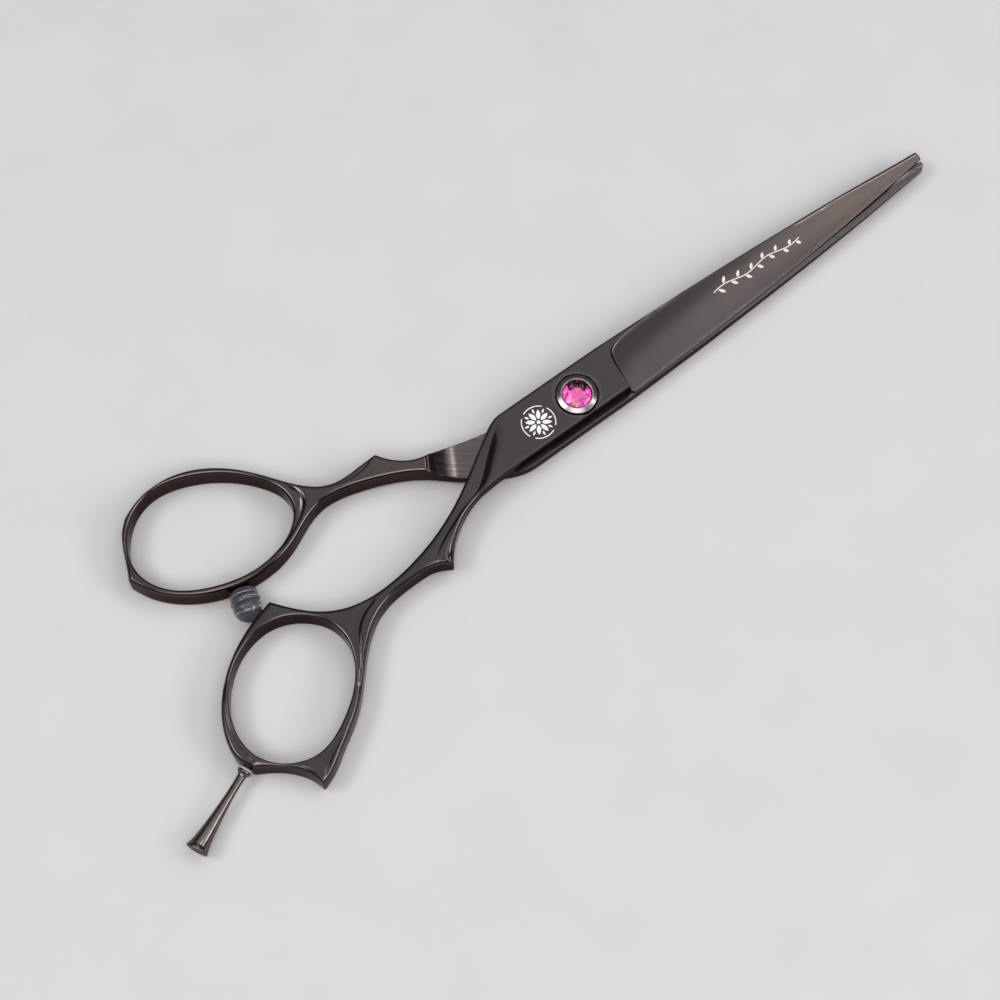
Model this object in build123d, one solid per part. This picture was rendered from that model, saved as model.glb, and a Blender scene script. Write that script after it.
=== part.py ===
# Hair cutting shears, six inch class, offset handle with removable finger rest.
# Row frame: origin on the pivot axis at the underside of the tension nut, +X to
# the blade tips, +Z up out of the decorated face, millimetres.  The shears lie
# closed: the finger half (upper blade) is the fixed half, the thumb half (lower
# blade) turns about the pivot axis.
from build123d import *
import os

os.makedirs("parts", exist_ok=True)

# ---------------------------------------------------------------- dimensions
RIDE_Z = 3.50            # plane where the thumb half's inner face lies
RIDE_GAP = 0.10          # running gap between the two halves at the ride
HALF_T = 2.80            # thickness of each half at the ride
Z_TH_OUT = RIDE_Z - HALF_T            # 0.70, thumb half outer face
Z_FH_IN = RIDE_Z + RIDE_GAP           # 3.60, finger half inner face
Z_FH_OUT = Z_FH_IN + HALF_T           # 6.40, finger half outer face
RING_H = 5.60            # height of both finger rings
RIDE_NARROW = 4.20       # ride half width on the cutting edge side
RIDE_WIDE = 5.15         # ride half width on the spine side
PLUNGE_X = 8.90          # where the ride ends and the ground blade starts
TIP_X = 76.70            # blunt blade tip
LIP = 0.18               # thickness of the cutting edge
SPINE_BEVEL = 0.45       # width of the bevel along the spine
HOLLOW = 0.16            # depth of the hollow on the inner blade face

HEAD_RECESS_R = 3.78     # counterbore for the pivot screw head
HEAD_RECESS_Z = 4.90
HEAD_R = 3.62            # pivot screw head
HEAD_TOP_R = 2.74
HEAD_EDGE_Z = 6.42
HEAD_TOP_Z = 6.92
STONE_R = 2.52           # stone of about 5 mm
STONE_TOP_Z = 7.36
SHANK_R = 2.00           # pivot screw journal
THREAD_R = 1.75          # pivot screw thread envelope
BUSH_R = 2.60            # outside of the pivot bushing
RUN = 0.04               # radial running clearance at the journal
NUT_R = 4.20             # tension nut
NUT_H = 1.45
NUT_RECESS_R = 4.45
NUT_RECESS_Z = 2.05      # floor of the nut recess in the thumb half

REST_Z = 2.80            # height of the finger rest and bumper axes
REST_BASE = (-83.05, -19.31)          # where the finger rest meets the ring
REST_DIR = (-0.9135, -0.4069)
REST_LEN = 15.6
BUMP_BASE = (-65.85, 6.90)            # where the bumper leaves the thumb ring
BUMP_DIR = (-0.28, -0.96)
BUMP_LEN = 6.35

# ------------------------------------------------------------ plan outlines
# Blade spine and cutting edge of the finger half, (x, y); the thumb half is
# the same shape turned over about the X axis.
SPINE = [(7.2, 5.10), (12.94, 4.94), (18.68, 4.76), (24.42, 4.57), (30.16, 4.37), (35.9, 4.14), (41.63, 3.88),
         (47.37, 3.59), (53.1, 3.26), (58.83, 2.9), (64.56, 2.48), (70.28, 2.02), (76.7, 1.46)]
EDGE = [(8.9, -4.92), (16.57, -4.59), (24.04, -4.24), (31.51, -3.84), (38.97, -3.38), (46.43, -2.86),
        (53.89, -2.26), (61.33, -1.59), (68.77, -0.82), (76.7, 0.08)]

FH_NORTH = [(-12.0, 5.15), (-13.4, 5.12), (-17.39, 3.41), (-21.1, 1.11), (-24.76, -1.26), (-28.58, -3.38),
            (-32.57, -5.15), (-36.7, -6.54), (-40.95, -7.52), (-45.28, -8.06), (-49.64, -8.0), (-53.89, -7.07),
            (-57.71, -5.0), (-60.87, -2.01), (-63.6, 1.4)]
FH_RING_A = [(-63.6, 1.4), (-67.12, 0.46), (-70.52, -0.85), (-73.74, -2.56), (-76.68, -4.7), (-79.27, -7.27),
             (-81.4, -10.22), (-82.89, -13.53), (-83.4, -17.13), (-82.2, -20.5)]
FH_RING_B = [(-82.2, -20.5), (-80.05, -21.74), (-78.08, -23.23), (-76.37, -25.03), (-75.07, -27.14),
             (-74.35, -29.5)]
FH_SOUTH_A = [(-74.35, -29.5), (-71.27, -28.26), (-68.45, -26.47), (-65.64, -24.68), (-62.88, -22.81),
              (-60.38, -20.6), (-58.1, -18.18), (-55.84, -15.72), (-53.43, -13.42), (-50.71, -11.5),
              (-47.65, -10.3), (-44.35, -9.84), (-41.01, -9.8), (-37.71, -10.14), (-34.8, -11.7)]
FH_SOUTH_B = [(-34.8, -11.7), (-33.19, -9.61), (-31.26, -7.83), (-29.06, -6.37), (-26.66, -5.29), (-24.12, -4.6),
              (-21.5, -4.32), (-19.5, -4.2)]
FH_HOLE = [(-62.79, -2.57), (-59.77, -4.63), (-57.61, -7.57), (-56.92, -11.14), (-57.77, -14.69), (-59.66, -17.83),
           (-62.24, -20.43), (-65.25, -22.53), (-68.53, -24.18), (-72.11, -24.88), (-75.65, -24.0),
           (-78.64, -21.9), (-80.6, -18.83), (-81.09, -15.21), (-80.34, -11.63), (-78.69, -8.36), (-76.32, -5.57),
           (-73.37, -3.39), (-69.98, -2.02), (-66.33, -1.67)]

TH_NORTH = [(-12.0, 4.2), (-16.0, 4.55), (-21.0, 5.7), (-23.58, 6.26), (-25.68, 6.49), (-27.78, 6.81),
            (-29.77, 7.52), (-31.52, 8.71), (-32.98, 10.23), (-34.15, 12.0)]
TH_RING_A = [(-34.15, 12.0), (-37.59, 11.91), (-41.03, 11.87), (-44.33, 12.76), (-47.05, 14.84), (-49.26, 17.47),
             (-51.3, 20.25), (-53.46, 22.93), (-55.9, 25.35), (-58.67, 27.4), (-61.74, 28.95), (-65.05, 29.84),
             (-68.48, 30.0), (-71.87, 29.4), (-75.0, 28.0)]
TH_RING_B = [(-75.0, 28.0), (-76.55, 26.42), (-77.73, 24.55), (-78.66, 22.53), (-79.52, 20.49), (-80.5, 18.5)]
TH_SOUTH = [(-80.5, 18.5), (-78.94, 15.2), (-76.65, 12.36), (-73.83, 10.05), (-70.63, 8.28), (-67.2, 7.04),
            (-63.61, 6.36), (-59.96, 6.28), (-56.35, 6.87), (-52.93, 8.15), (-49.62, 9.7), (-46.12, 10.55),
            (-42.49, 10.2), (-39.0, 9.2), (-35.59, 7.91), (-32.29, 6.34), (-29.2, 4.4), (-26.4, 2.05),
            (-23.57, -0.26), (-20.47, -2.2), (-17.26, -3.95), (-13.4, -5.12), (-12.0, -5.15)]
TH_HOLE = [(-60.81, 27.18), (-57.51, 25.16), (-54.58, 22.63), (-52.17, 19.6), (-50.59, 16.08), (-51.06, 12.3),
           (-53.71, 9.54), (-57.27, 8.05), (-61.1, 7.5), (-64.96, 7.83), (-68.69, 8.87), (-72.22, 10.45),
           (-75.36, 12.71), (-77.66, 15.8), (-78.5, 19.56), (-77.5, 23.26), (-75.17, 26.34), (-71.98, 28.5),
           (-68.21, 29.27), (-64.39, 28.65)]


def at(table, x):
    """Linear reading of an (x, y) table."""
    if x <= table[0][0]:
        return table[0][1]
    for (x0, y0), (x1, y1) in zip(table, table[1:]):
        if x <= x1:
            return y0 + (y1 - y0) * (x - x0) / (x1 - x0)
    return table[-1][1]


def blade_height(x):
    """Thickness of the blade at the spine bevel."""
    w = at(SPINE, x) - at(EDGE, x)
    return min(2.70, 0.46 + 0.228 * w)


def slab(edges, z0, z1):
    face = make_face(edges)
    return extrude(Pos(0, 0, z0) * face, amount=z1 - z0)


def side_cut(profile, turn=0.0):
    """A wide solid whose XZ section is the profile, for shaping heights."""
    wire = Polyline(*[(x, z) for x, z in profile], close=True)
    face = make_face(Plane.XZ * wire)
    solid = extrude(face, amount=60.0, both=True)
    return Rot(0, 0, turn) * solid


def blade():
    """The ground blade of the finger half, lofted through flat sections."""
    sections = []
    for x in (PLUNGE_X, 13.0, 20.0, 28.0, 36.0, 44.0, 52.0, 60.0, 68.0, 74.2, TIP_X):
        ys, ye, h = at(SPINE, x), at(EDGE, x), blade_height(x)
        w = ys - ye
        hollow = HOLLOW * min(1.0, w / 6.0)
        pts = [
            (ye, 0.0), (ye, LIP),
            (ye + 0.34 * (w - SPINE_BEVEL), LIP + 0.41 * (h - LIP)),
            (ye + 0.70 * (w - SPINE_BEVEL), LIP + 0.77 * (h - LIP)),
            (ys - SPINE_BEVEL, h), (ys, h - 0.9 * SPINE_BEVEL),
            (ys, 0.0), (ys - 0.14 * w, 0.0), (ye + 0.46 * w, hollow), (ye + 0.12 * w, 0.0),
        ]
        wire = Polyline(*[(x, y, Z_FH_IN + z) for y, z in pts], close=True)
        sections.append(make_face(wire))
    return loft(sections, ruled=True)


def turn_over(shape):
    """Turn a finger half feature over about the X axis onto the thumb half."""
    return Pos(0, 0, RIDE_Z + Z_FH_IN) * (Rot(180, 0, 0) * shape)


# -------------------------------------------------------------- finger half
ride_end = [(-19.5, -4.2), (-5.0, -RIDE_NARROW), (8.35, -RIDE_NARROW)]
plunge = [(8.35, -RIDE_NARROW), (8.9, 2.3), (9.6, 3.35), (11.2, 3.9), (14.2, 4.25), (20.0, 4.45), (24.5, 4.52)]
spine_back = [(24.5, 4.52), (18.68, 4.76), (12.94, 4.94), (7.2, 5.10), (-3.0, RIDE_WIDE), (-12.0, RIDE_WIDE)]

outer = [
    Spline(*FH_NORTH), Spline(*FH_RING_A), Spline(*FH_RING_B), Spline(*FH_SOUTH_A), Spline(*FH_SOUTH_B),
    Polyline(*ride_end), Polyline(*plunge), Polyline(*spine_back),
]
finger_plan = slab(outer, -1.0, 8.0)
finger_profile = side_cut([
    (30.0, Z_FH_IN), (30.0, Z_FH_OUT), (-22.0, Z_FH_OUT), (-34.0, 6.15), (-48.0, 5.75), (-56.0, RING_H),
    (-95.0, RING_H), (-95.0, 0.0), (-56.0, 0.0), (-46.0, 0.35), (-36.0, 1.05), (-29.0, 1.9), (-26.2, 2.7),
    (-24.6, Z_FH_IN),
])
finger_half = finger_plan & finger_profile
finger_half -= slab([Spline(*FH_HOLE, periodic=True)], -1.0, 8.0)
finger_half += blade()

# counterbore and hole for the pivot screw
finger_half -= Pos(0, 0, HEAD_RECESS_Z) * Cylinder(HEAD_RECESS_R, 5.0, align=(Align.CENTER, Align.CENTER, Align.MIN))
finger_half -= Pos(0, 0, 3.0) * Cylinder(SHANK_R, 4.0, align=(Align.CENTER, Align.CENTER, Align.MIN))

# tapped hole for the finger rest, along the rest's own axis
rest_plane = Plane(origin=(REST_BASE[0], REST_BASE[1], REST_Z), z_dir=(REST_DIR[0], REST_DIR[1], 0))
finger_half -= rest_plane * (Pos(0, 0, -2.0) * Cylinder(0.72, 5.0, align=(Align.CENTER, Align.CENTER, Align.MIN)))
# spot face that the rest's collar seats on
finger_half -= rest_plane * Cylinder(1.30, 3.0, align=(Align.CENTER, Align.CENTER, Align.MIN))

# --------------------------------------------------------------- thumb half
ride_spine = [(-12.0, -5.15), (7.2, -5.10), (12.94, -4.94), (18.68, -4.76), (24.5, -4.52)]
plunge_t = [(x, -y) for x, y in reversed(plunge)]
ride_edge = [(8.35, 4.2), (-5.0, 4.2), (-12.0, 4.2)]
outer_t = [
    Spline(*TH_NORTH), Spline(*TH_RING_A), Spline(*TH_RING_B), Spline(*TH_SOUTH),
    Polyline(*ride_spine), Polyline(*plunge_t), Polyline(*ride_edge),
]
thumb_plan = slab(outer_t, -1.0, 8.0)
STEP_X0, STEP_X1 = -20.6, -26.9       # foot and head of the ground cove up to the handle
cove = [(STEP_X0 - (STEP_X0 - STEP_X1) * s, RIDE_Z + 2.72 * h)
        for s, h in ((0, 0.0), (0.16, 0.0217), (0.32, 0.0875), (0.46, 0.1837), (0.6, 0.3195), (0.72, 0.4719), (0.84, 0.664), (0.93, 0.8398), (1.0, 1.0))]
thumb_profile = side_cut([(45.0, Z_TH_OUT), (45.0, RIDE_Z)] + cove + [
    (-38.0, 6.0), (-48.0, 5.72), (-55.0, RING_H),
    (-105.0, RING_H), (-105.0, 0.0), (-58.0, 0.0), (-48.0, 0.25), (-38.0, 0.8), (-30.0, 0.95), (-22.0, Z_TH_OUT),
], turn=-29.7)
thumb_half = thumb_plan & thumb_profile
thumb_half -= slab([Spline(*TH_HOLE, periodic=True)], -1.0, 8.0)
thumb_half += turn_over(blade())

# bore for the pivot bushing and the recess for the washer and nut
thumb_half -= Pos(0, 0, -1.0) * Cylinder(BUSH_R, 6.0, align=(Align.CENTER, Align.CENTER, Align.MIN))
thumb_half -= Pos(0, 0, -1.0) * Cylinder(NUT_RECESS_R, 1.0 + NUT_RECESS_Z, align=(Align.CENTER, Align.CENTER, Align.MIN))

# blind hole for the bumper's stem
bump_plane = Plane(origin=(BUMP_BASE[0], BUMP_BASE[1], REST_Z), z_dir=(BUMP_DIR[0], BUMP_DIR[1], 0))
thumb_half -= bump_plane * (Pos(0, 0, -1.05) * Cylinder(0.72, 3.0, align=(Align.CENTER, Align.CENTER, Align.MIN)))

# -------------------------------------------------------------- pivot stack
def turned(points):
    """A solid of revolution about Z from an (r, z) polygon."""
    wire = Polyline(*[(r, 0, z) for r, z in points], close=True)
    return revolve(make_face(wire), axis=Axis.Z)


pivot_screw = turned([
    (0, 0.55), (THREAD_R - 0.25, 0.55), (THREAD_R, 0.8), (THREAD_R, 1.75), (SHANK_R - 0.04, 2.0),
    (SHANK_R - 0.04, 5.10), (HEAD_R, 5.10), (HEAD_R, HEAD_EDGE_Z), (HEAD_TOP_R, HEAD_TOP_Z),
    (STONE_R + 0.06, HEAD_TOP_Z), (STONE_R + 0.06, 6.62), (1.62, 5.55), (0, 5.55),
])
head_washer = turned([(SHANK_R + 0.02, HEAD_RECESS_Z), (HEAD_R, HEAD_RECESS_Z), (HEAD_R, 5.10), (SHANK_R + 0.02, 5.10)])

# faceted stone: flat back, sixteen sides, crown and table
def ngon(n, r, z, turn=0.0):
    return Pos(0, 0, z) * Rot(0, 0, turn) * make_face(RegularPolygon(r, n).edges())


FOIL_T = 0.06
stone_foil = turned([(0, 5.55), (1.62, 5.55), (STONE_R + 0.02, 6.62), (STONE_R - 0.05, 6.66), (1.56, 5.55 + FOIL_T),
                     (0, 5.55 + FOIL_T)])
pavilion = loft([ngon(16, 1.50, 5.55 + FOIL_T), ngon(16, STONE_R - 0.06, 6.70)], ruled=True)
girdle = loft([ngon(16, STONE_R - 0.06, 6.70), ngon(16, STONE_R - 0.03, 6.86)], ruled=True)
crown = loft([ngon(16, STONE_R - 0.03, 6.86), ngon(16, 1.50, STONE_TOP_Z)], ruled=True)
stone = pavilion + girdle + crown

pivot_bushing = turned([(SHANK_R, NUT_RECESS_Z), (BUSH_R, NUT_RECESS_Z), (BUSH_R, RIDE_Z), (SHANK_R, RIDE_Z)])

# spring washer between the nut and the thumb half, a shallow cone
spring_washer = turned([
    (SHANK_R + 0.06, 1.55), (SHANK_R + 0.06, 1.80), (3.70, 2.00), (3.70, 1.75),
])

# tension nut: closed round dial with a fluted rim and two key holes
tension_nut = turned([
    (0, 0), (NUT_R - 0.35, 0), (NUT_R, 0.35), (NUT_R, NUT_H - 0.1), (NUT_R - 0.1, NUT_H), (THREAD_R + RUN, NUT_H),
    (THREAD_R + RUN, 0.45), (0, 0.45),
])
flute = Pos(NUT_R + 0.22, 0, -0.5) * Cylinder(0.42, 3.0, align=(Align.CENTER, Align.CENTER, Align.MIN))
for i in range(20):
    tension_nut -= Rot(0, 0, 18.0 * i) * flute
for a in (0, 180):
    tension_nut -= Rot(0, 0, a) * (Pos(2.95, 0, -0.5) * Cylinder(0.45, 1.2, align=(Align.CENTER, Align.CENTER, Align.MIN)))

# ------------------------------------------------------------------- bumper
def turned_on(plane, points):
    """A solid of revolution about a plane's normal from an (r, h) polygon."""
    wire = Polyline(*[(r, 0, h) for r, h in points], close=True)
    return plane * revolve(make_face(wire), axis=Axis.Z)


bumper = turned_on(bump_plane, [
    (0, -0.95), (0.60, -0.95), (0.68, -0.75), (0.68, 0.35), (1.55, 0.42), (2.05, 0.80), (2.38, 1.30), (2.50, 1.66),
    (2.32, 1.82), (2.58, 2.10), (2.66, 2.46), (2.46, 2.66), (2.62, 2.94), (2.56, 3.30), (2.34, 3.48), (2.40, 3.76),
    (2.18, 4.30), (1.86, 5.00), (1.42, 5.62), (0.85, 6.10), (0.42, BUMP_LEN - 0.05), (0, BUMP_LEN),
])

# -------------------------------------------------------------- finger rest
rest_washer = turned_on(rest_plane, [(0.76, 0.0), (1.18, 0.0), (1.18, 0.30), (0.76, 0.30)])
finger_rest = turned_on(rest_plane, [
    (0, -1.7), (0.52, -1.7), (0.68, -1.5), (0.68, 0.30), (1.12, 0.30), (1.22, 0.42), (1.22, 0.78), (1.10, 0.92),
    (0.84, 1.00), (0.74, 1.30), (0.68, 3.0), (0.73, 5.0), (0.85, 7.0), (1.00, 9.0), (1.16, 10.8), (1.32, 12.3),
    (1.50, 13.7), (1.70, 14.7), (1.90, 15.2), (1.98, 15.42), (1.96, REST_LEN), (1.82, REST_LEN + 0.10), (0.6, REST_LEN + 0.14),
    (0, REST_LEN + 0.14),
])

# ------------------------------------------------------------------- export
nodes = {
    "finger_half": finger_half,
    "thumb_half": thumb_half,
    "pivot_screw": pivot_screw,
    "head_washer": head_washer,
    "stone": stone,
    "stone_foil": stone_foil,
    "pivot_bushing": pivot_bushing,
    "spring_washer": spring_washer,
    "tension_nut": tension_nut,
    "bumper": bumper,
    "rest_washer": rest_washer,
    "finger_rest": finger_rest,
}
for name, shape in nodes.items():
    print(name, len(shape.solids()), round(shape.volume, 3), [round(v, 2) for v in (*shape.bounding_box().min, *shape.bounding_box().max)])
    export_step(Compound(children=[s for s in shape.solids()]) if len(shape.solids()) > 1 else shape.solids()[0], f"parts/{name}.step")
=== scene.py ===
import math
import bpy
import bmesh
import numpy as np
from mathutils import Matrix, Vector
from mathutils.geometry import delaunay_2d_cdt


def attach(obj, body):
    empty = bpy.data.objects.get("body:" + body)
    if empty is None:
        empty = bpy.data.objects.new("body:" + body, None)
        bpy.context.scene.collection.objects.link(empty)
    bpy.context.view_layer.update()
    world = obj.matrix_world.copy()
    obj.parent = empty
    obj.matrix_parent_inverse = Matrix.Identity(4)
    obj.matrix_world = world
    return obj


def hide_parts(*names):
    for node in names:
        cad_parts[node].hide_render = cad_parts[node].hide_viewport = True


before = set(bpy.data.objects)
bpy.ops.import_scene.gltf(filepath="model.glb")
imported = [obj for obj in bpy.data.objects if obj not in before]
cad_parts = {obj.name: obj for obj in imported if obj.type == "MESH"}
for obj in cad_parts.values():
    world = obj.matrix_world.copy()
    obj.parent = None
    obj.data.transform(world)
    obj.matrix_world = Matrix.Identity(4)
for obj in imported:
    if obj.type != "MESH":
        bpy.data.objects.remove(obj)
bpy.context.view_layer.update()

MM = 0.001
scene = bpy.context.scene

# =====================================================================
# camera, floor, lights
# =====================================================================
AZ, EL = math.radians(-36.562), math.radians(71.0)
back = Vector((math.sin(AZ) * math.cos(EL), -math.cos(AZ) * math.cos(EL), math.sin(EL)))
right = Vector((math.cos(AZ), math.sin(AZ), 0.0))
up = back.cross(right)
target = Vector((-21.604, -6.947, 4.3)) * MM
cam_data = bpy.data.cameras.new("camera")
cam = bpy.data.objects.new("camera", cam_data)
scene.collection.objects.link(cam)
loc = target + back * 0.472735
cam.matrix_world = Matrix(((right.x, up.x, back.x, loc.x), (right.y, up.y, back.y, loc.y),
                           (right.z, up.z, back.z, loc.z), (0, 0, 0, 1)))
cam_data.lens = 100.0
cam_data.sensor_width = 36.0
cam_data.clip_start = 0.01
cam_data.clip_end = 20.0
cam_data.dof.use_dof = False
scene.camera = cam
scene.view_settings.view_transform = "Standard"
scene.view_settings.look = "None"
scene.view_settings.exposure = 0.0


def new_material(name):
    m = bpy.data.materials.new(name)
    m.use_nodes = True
    nt = m.node_tree
    nt.nodes.clear()
    out = nt.nodes.new("ShaderNodeOutputMaterial")
    bsdf = nt.nodes.new("ShaderNodeBsdfPrincipled")
    nt.links.new(bsdf.outputs["BSDF"], out.inputs["Surface"])
    return m, nt, bsdf


def node(nt, kind, **kw):
    n = nt.nodes.new(kind)
    for k, v in kw.items():
        if k in n.inputs:
            n.inputs[k].default_value = v
        else:
            setattr(n, k, v)
    return n


def ramp(nt, fac, stops, interp="LINEAR"):
    r = nt.nodes.new("ShaderNodeValToRGB")
    r.color_ramp.interpolation = interp
    while len(r.color_ramp.elements) > 1:
        r.color_ramp.elements.remove(r.color_ramp.elements[-1])
    for i, (p, c) in enumerate(stops):
        e = r.color_ramp.elements[0] if i == 0 else r.color_ramp.elements.new(p)
        e.position = p
        e.color = (*c, 1.0) if len(c) == 3 else c
    nt.links.new(fac, r.inputs["Fac"])
    return r


def coords(nt, scale=(1, 1, 1), rot=(0, 0, 0), loc=(0, 0, 0)):
    tc = nt.nodes.new("ShaderNodeTexCoord")
    mp = nt.nodes.new("ShaderNodeMapping")
    mp.inputs["Scale"].default_value = scale
    mp.inputs["Rotation"].default_value = rot
    mp.inputs["Location"].default_value = loc
    nt.links.new(tc.outputs["Object"], mp.inputs["Vector"])
    return mp.outputs["Vector"]


def stretch(nt, vec, scale):
    m = nt.nodes.new("ShaderNodeMapping")
    m.inputs["Scale"].default_value = scale
    nt.links.new(vec, m.inputs["Vector"])
    return m.outputs["Vector"]


def noise(nt, vec, scale, detail=3.0, rough=0.5, distortion=0.0):
    n = nt.nodes.new("ShaderNodeTexNoise")
    n.inputs["Scale"].default_value = scale
    n.inputs["Detail"].default_value = detail
    n.inputs["Roughness"].default_value = rough
    n.inputs["Distortion"].default_value = distortion
    nt.links.new(vec, n.inputs["Vector"])
    return n.outputs["Fac"]


def math_node(nt, op, a, b=None, c=None, clamp=False):
    n = nt.nodes.new("ShaderNodeMath")
    n.operation = op
    n.use_clamp = clamp
    for i, v in enumerate((a, b, c)):
        if v is None:
            continue
        if isinstance(v, (int, float)):
            n.inputs[i].default_value = v
        else:
            nt.links.new(v, n.inputs[i])
    return n.outputs[0]


def mix_rgb(nt, fac, a, b, mode="MIX"):
    n = nt.nodes.new("ShaderNodeMix")
    n.data_type = "RGBA"
    n.blend_type = mode
    ins = {"f": n.inputs[0], "a": n.inputs[6], "b": n.inputs[7]}
    for k, v in (("f", fac), ("a", a), ("b", b)):
        if isinstance(v, (int, float)):
            ins[k].default_value = v
        elif isinstance(v, tuple):
            ins[k].default_value = (*v, 1.0) if len(v) == 3 else v
        else:
            nt.links.new(v, ins[k])
    return n.outputs[2]


def bump(nt, height, strength, distance=0.0001, normal=None):
    b = nt.nodes.new("ShaderNodeBump")
    b.inputs["Strength"].default_value = strength
    b.inputs["Distance"].default_value = distance
    nt.links.new(height, b.inputs["Height"])
    if normal is not None:
        nt.links.new(normal, b.inputs["Normal"])
    return b.outputs["Normal"]


# --------------------------------------------------------------- materials
def scratches(nt, turn, across, along, low, high):
    """Straight hair marks in one direction, as a mask."""
    v = noise(nt, coords(nt, (along, across, across), (0, 0, turn)), 1.0, 2.0, 0.6)
    return ramp(nt, v, [(0.0, (0, 0, 0)), (low, (0, 0, 0)), (high, (1, 1, 1))]).outputs["Color"]


def coated_steel():
    """Black titanium coating on polished steel: violet to bronze clouds, faint wiping marks, edges worn lighter."""
    m, nt, b = new_material("coated_steel")
    obj = coords(nt)
    broad = noise(nt, obj, 26.0, 2.0, 0.5, 0.4)
    cloud = noise(nt, obj, 210.0, 3.0, 0.6)
    tone = ramp(nt, broad, [(0.32, (0.067, 0.059, 0.063)), (0.50, (0.078, 0.067, 0.068)), (0.68, (0.093, 0.077, 0.070))])
    col = mix_rgb(nt, math_node(nt, "MULTIPLY", cloud, 0.30), tone.outputs["Color"], (0.050, 0.044, 0.047))
    wear = node(nt, "ShaderNodeAttribute", attribute_name="wear")
    fine = noise(nt, obj, 1900.0, 2.0, 0.6)
    worn = math_node(nt, "MULTIPLY", wear.outputs["Fac"], math_node(nt, "MULTIPLY_ADD", fine, 0.9, -0.12), clamp=True)
    base = mix_rgb(nt, worn, col, (0.19, 0.168, 0.160))
    nt.links.new(base, b.inputs["Base Color"])
    b.inputs["Metallic"].default_value = 1.0
    b.inputs["Specular Tint"].default_value = (0.42, 0.38, 0.38, 1.0)
    marks = math_node(nt, "ADD", scratches(nt, 0.35, 900, 14, 0.62, 0.76), scratches(nt, -1.1, 1000, 18, 0.64, 0.78), clamp=True)
    rough = math_node(nt, "MULTIPLY_ADD", marks, 0.05, math_node(nt, "MULTIPLY_ADD", cloud, 0.05, 0.082))
    nt.links.new(rough, b.inputs["Roughness"])
    hgt = math_node(nt, "MULTIPLY_ADD", marks, -0.3, noise(nt, obj, 330.0, 2.0, 0.5))
    nt.links.new(bump(nt, hgt, 0.06, 0.00005), b.inputs["Normal"])
    return m


def brushed_ride():
    """The ride face and handle step: the coating over a brushed ground face."""
    m, nt, b = new_material("brushed_ride")
    turned = coords(nt, rot=(0, 0, 0.638))
    fine = noise(nt, stretch(nt, turned, (90, 7000, 90)), 1.0, 4.0, 0.65)
    wide = noise(nt, stretch(nt, turned, (40, 2100, 40)), 1.0, 3.0, 0.6)
    cloud = noise(nt, coords(nt), 120.0, 2.0, 0.5)
    mixv = math_node(nt, "MULTIPLY_ADD", wide, 0.45, math_node(nt, "MULTIPLY", fine, 0.55))
    col = ramp(nt, mixv, [(0.32, (0.075, 0.066, 0.068)), (0.5, (0.125, 0.110, 0.110)), (0.68, (0.23, 0.20, 0.195))])
    base = mix_rgb(nt, math_node(nt, "MULTIPLY", cloud, 0.35), col.outputs["Color"], (0.060, 0.053, 0.055))
    nt.links.new(base, b.inputs["Base Color"])
    b.inputs["Metallic"].default_value = 1.0
    b.inputs["Specular Tint"].default_value = (0.5, 0.46, 0.46, 1.0)
    nt.links.new(math_node(nt, "MULTIPLY_ADD", fine, 0.12, 0.15), b.inputs["Roughness"])
    nt.links.new(bump(nt, mixv, 0.65, 0.000035), b.inputs["Normal"])
    return m


def ground_inner():
    """Inner blade faces: finely ground across the blade, then coated."""
    m, nt, b = new_material("ground_inner")
    fine = noise(nt, coords(nt, (5200, 60, 60)), 1.0, 4.0, 0.6)
    wide = noise(nt, coords(nt, (800, 30, 60)), 1.0, 3.0, 0.6)
    mixv = math_node(nt, "MULTIPLY_ADD", wide, 0.4, math_node(nt, "MULTIPLY", fine, 0.6))
    col = ramp(nt, mixv, [(0.3, (0.088, 0.080, 0.083)), (0.5, (0.118, 0.106, 0.109)), (0.7, (0.160, 0.145, 0.146))])
    nt.links.new(col.outputs["Color"], b.inputs["Base Color"])
    b.inputs["Metallic"].default_value = 1.0
    b.inputs["Specular Tint"].default_value = (0.5, 0.46, 0.46, 1.0)
    nt.links.new(math_node(nt, "MULTIPLY_ADD", fine, 0.10, 0.13), b.inputs["Roughness"])
    nt.links.new(bump(nt, mixv, 0.22, 0.00002), b.inputs["Normal"])
    return m


def turned_metal(name, dark, mid, light, rough=0.18, rings=5200.0, strength=0.2, tint=(1, 1, 1, 1), centre=(0, 0)):
    """Metal turned on a lathe about Z: fine circular tool marks."""
    m, nt, b = new_material(name)
    sep = nt.nodes.new("ShaderNodeSeparateXYZ")
    nt.links.new(coords(nt, loc=(-centre[0], -centre[1], 0)), sep.inputs[0])
    r = math_node(nt, "SQRT", math_node(nt, "ADD", math_node(nt, "MULTIPLY", sep.outputs[0], sep.outputs[0]),
                                        math_node(nt, "MULTIPLY", sep.outputs[1], sep.outputs[1])))
    comb = nt.nodes.new("ShaderNodeCombineXYZ")
    nt.links.new(r, comb.inputs[0])
    nt.links.new(sep.outputs[2], comb.inputs[2])
    lines = noise(nt, comb.outputs[0], rings, 3.0, 0.6)
    cloud = noise(nt, coords(nt), 400.0, 2.0, 0.5)
    mixv = math_node(nt, "MULTIPLY_ADD", cloud, 0.35, math_node(nt, "MULTIPLY", lines, 0.65))
    col = ramp(nt, mixv, [(0.3, dark), (0.5, mid), (0.72, light)])
    nt.links.new(col.outputs["Color"], b.inputs["Base Color"])
    b.inputs["Metallic"].default_value = 1.0
    b.inputs["Specular Tint"].default_value = tint
    nt.links.new(math_node(nt, "MULTIPLY_ADD", lines, 0.12, rough), b.inputs["Roughness"])
    nt.links.new(bump(nt, lines, strength, 0.00002), b.inputs["Normal"])
    return m


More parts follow.
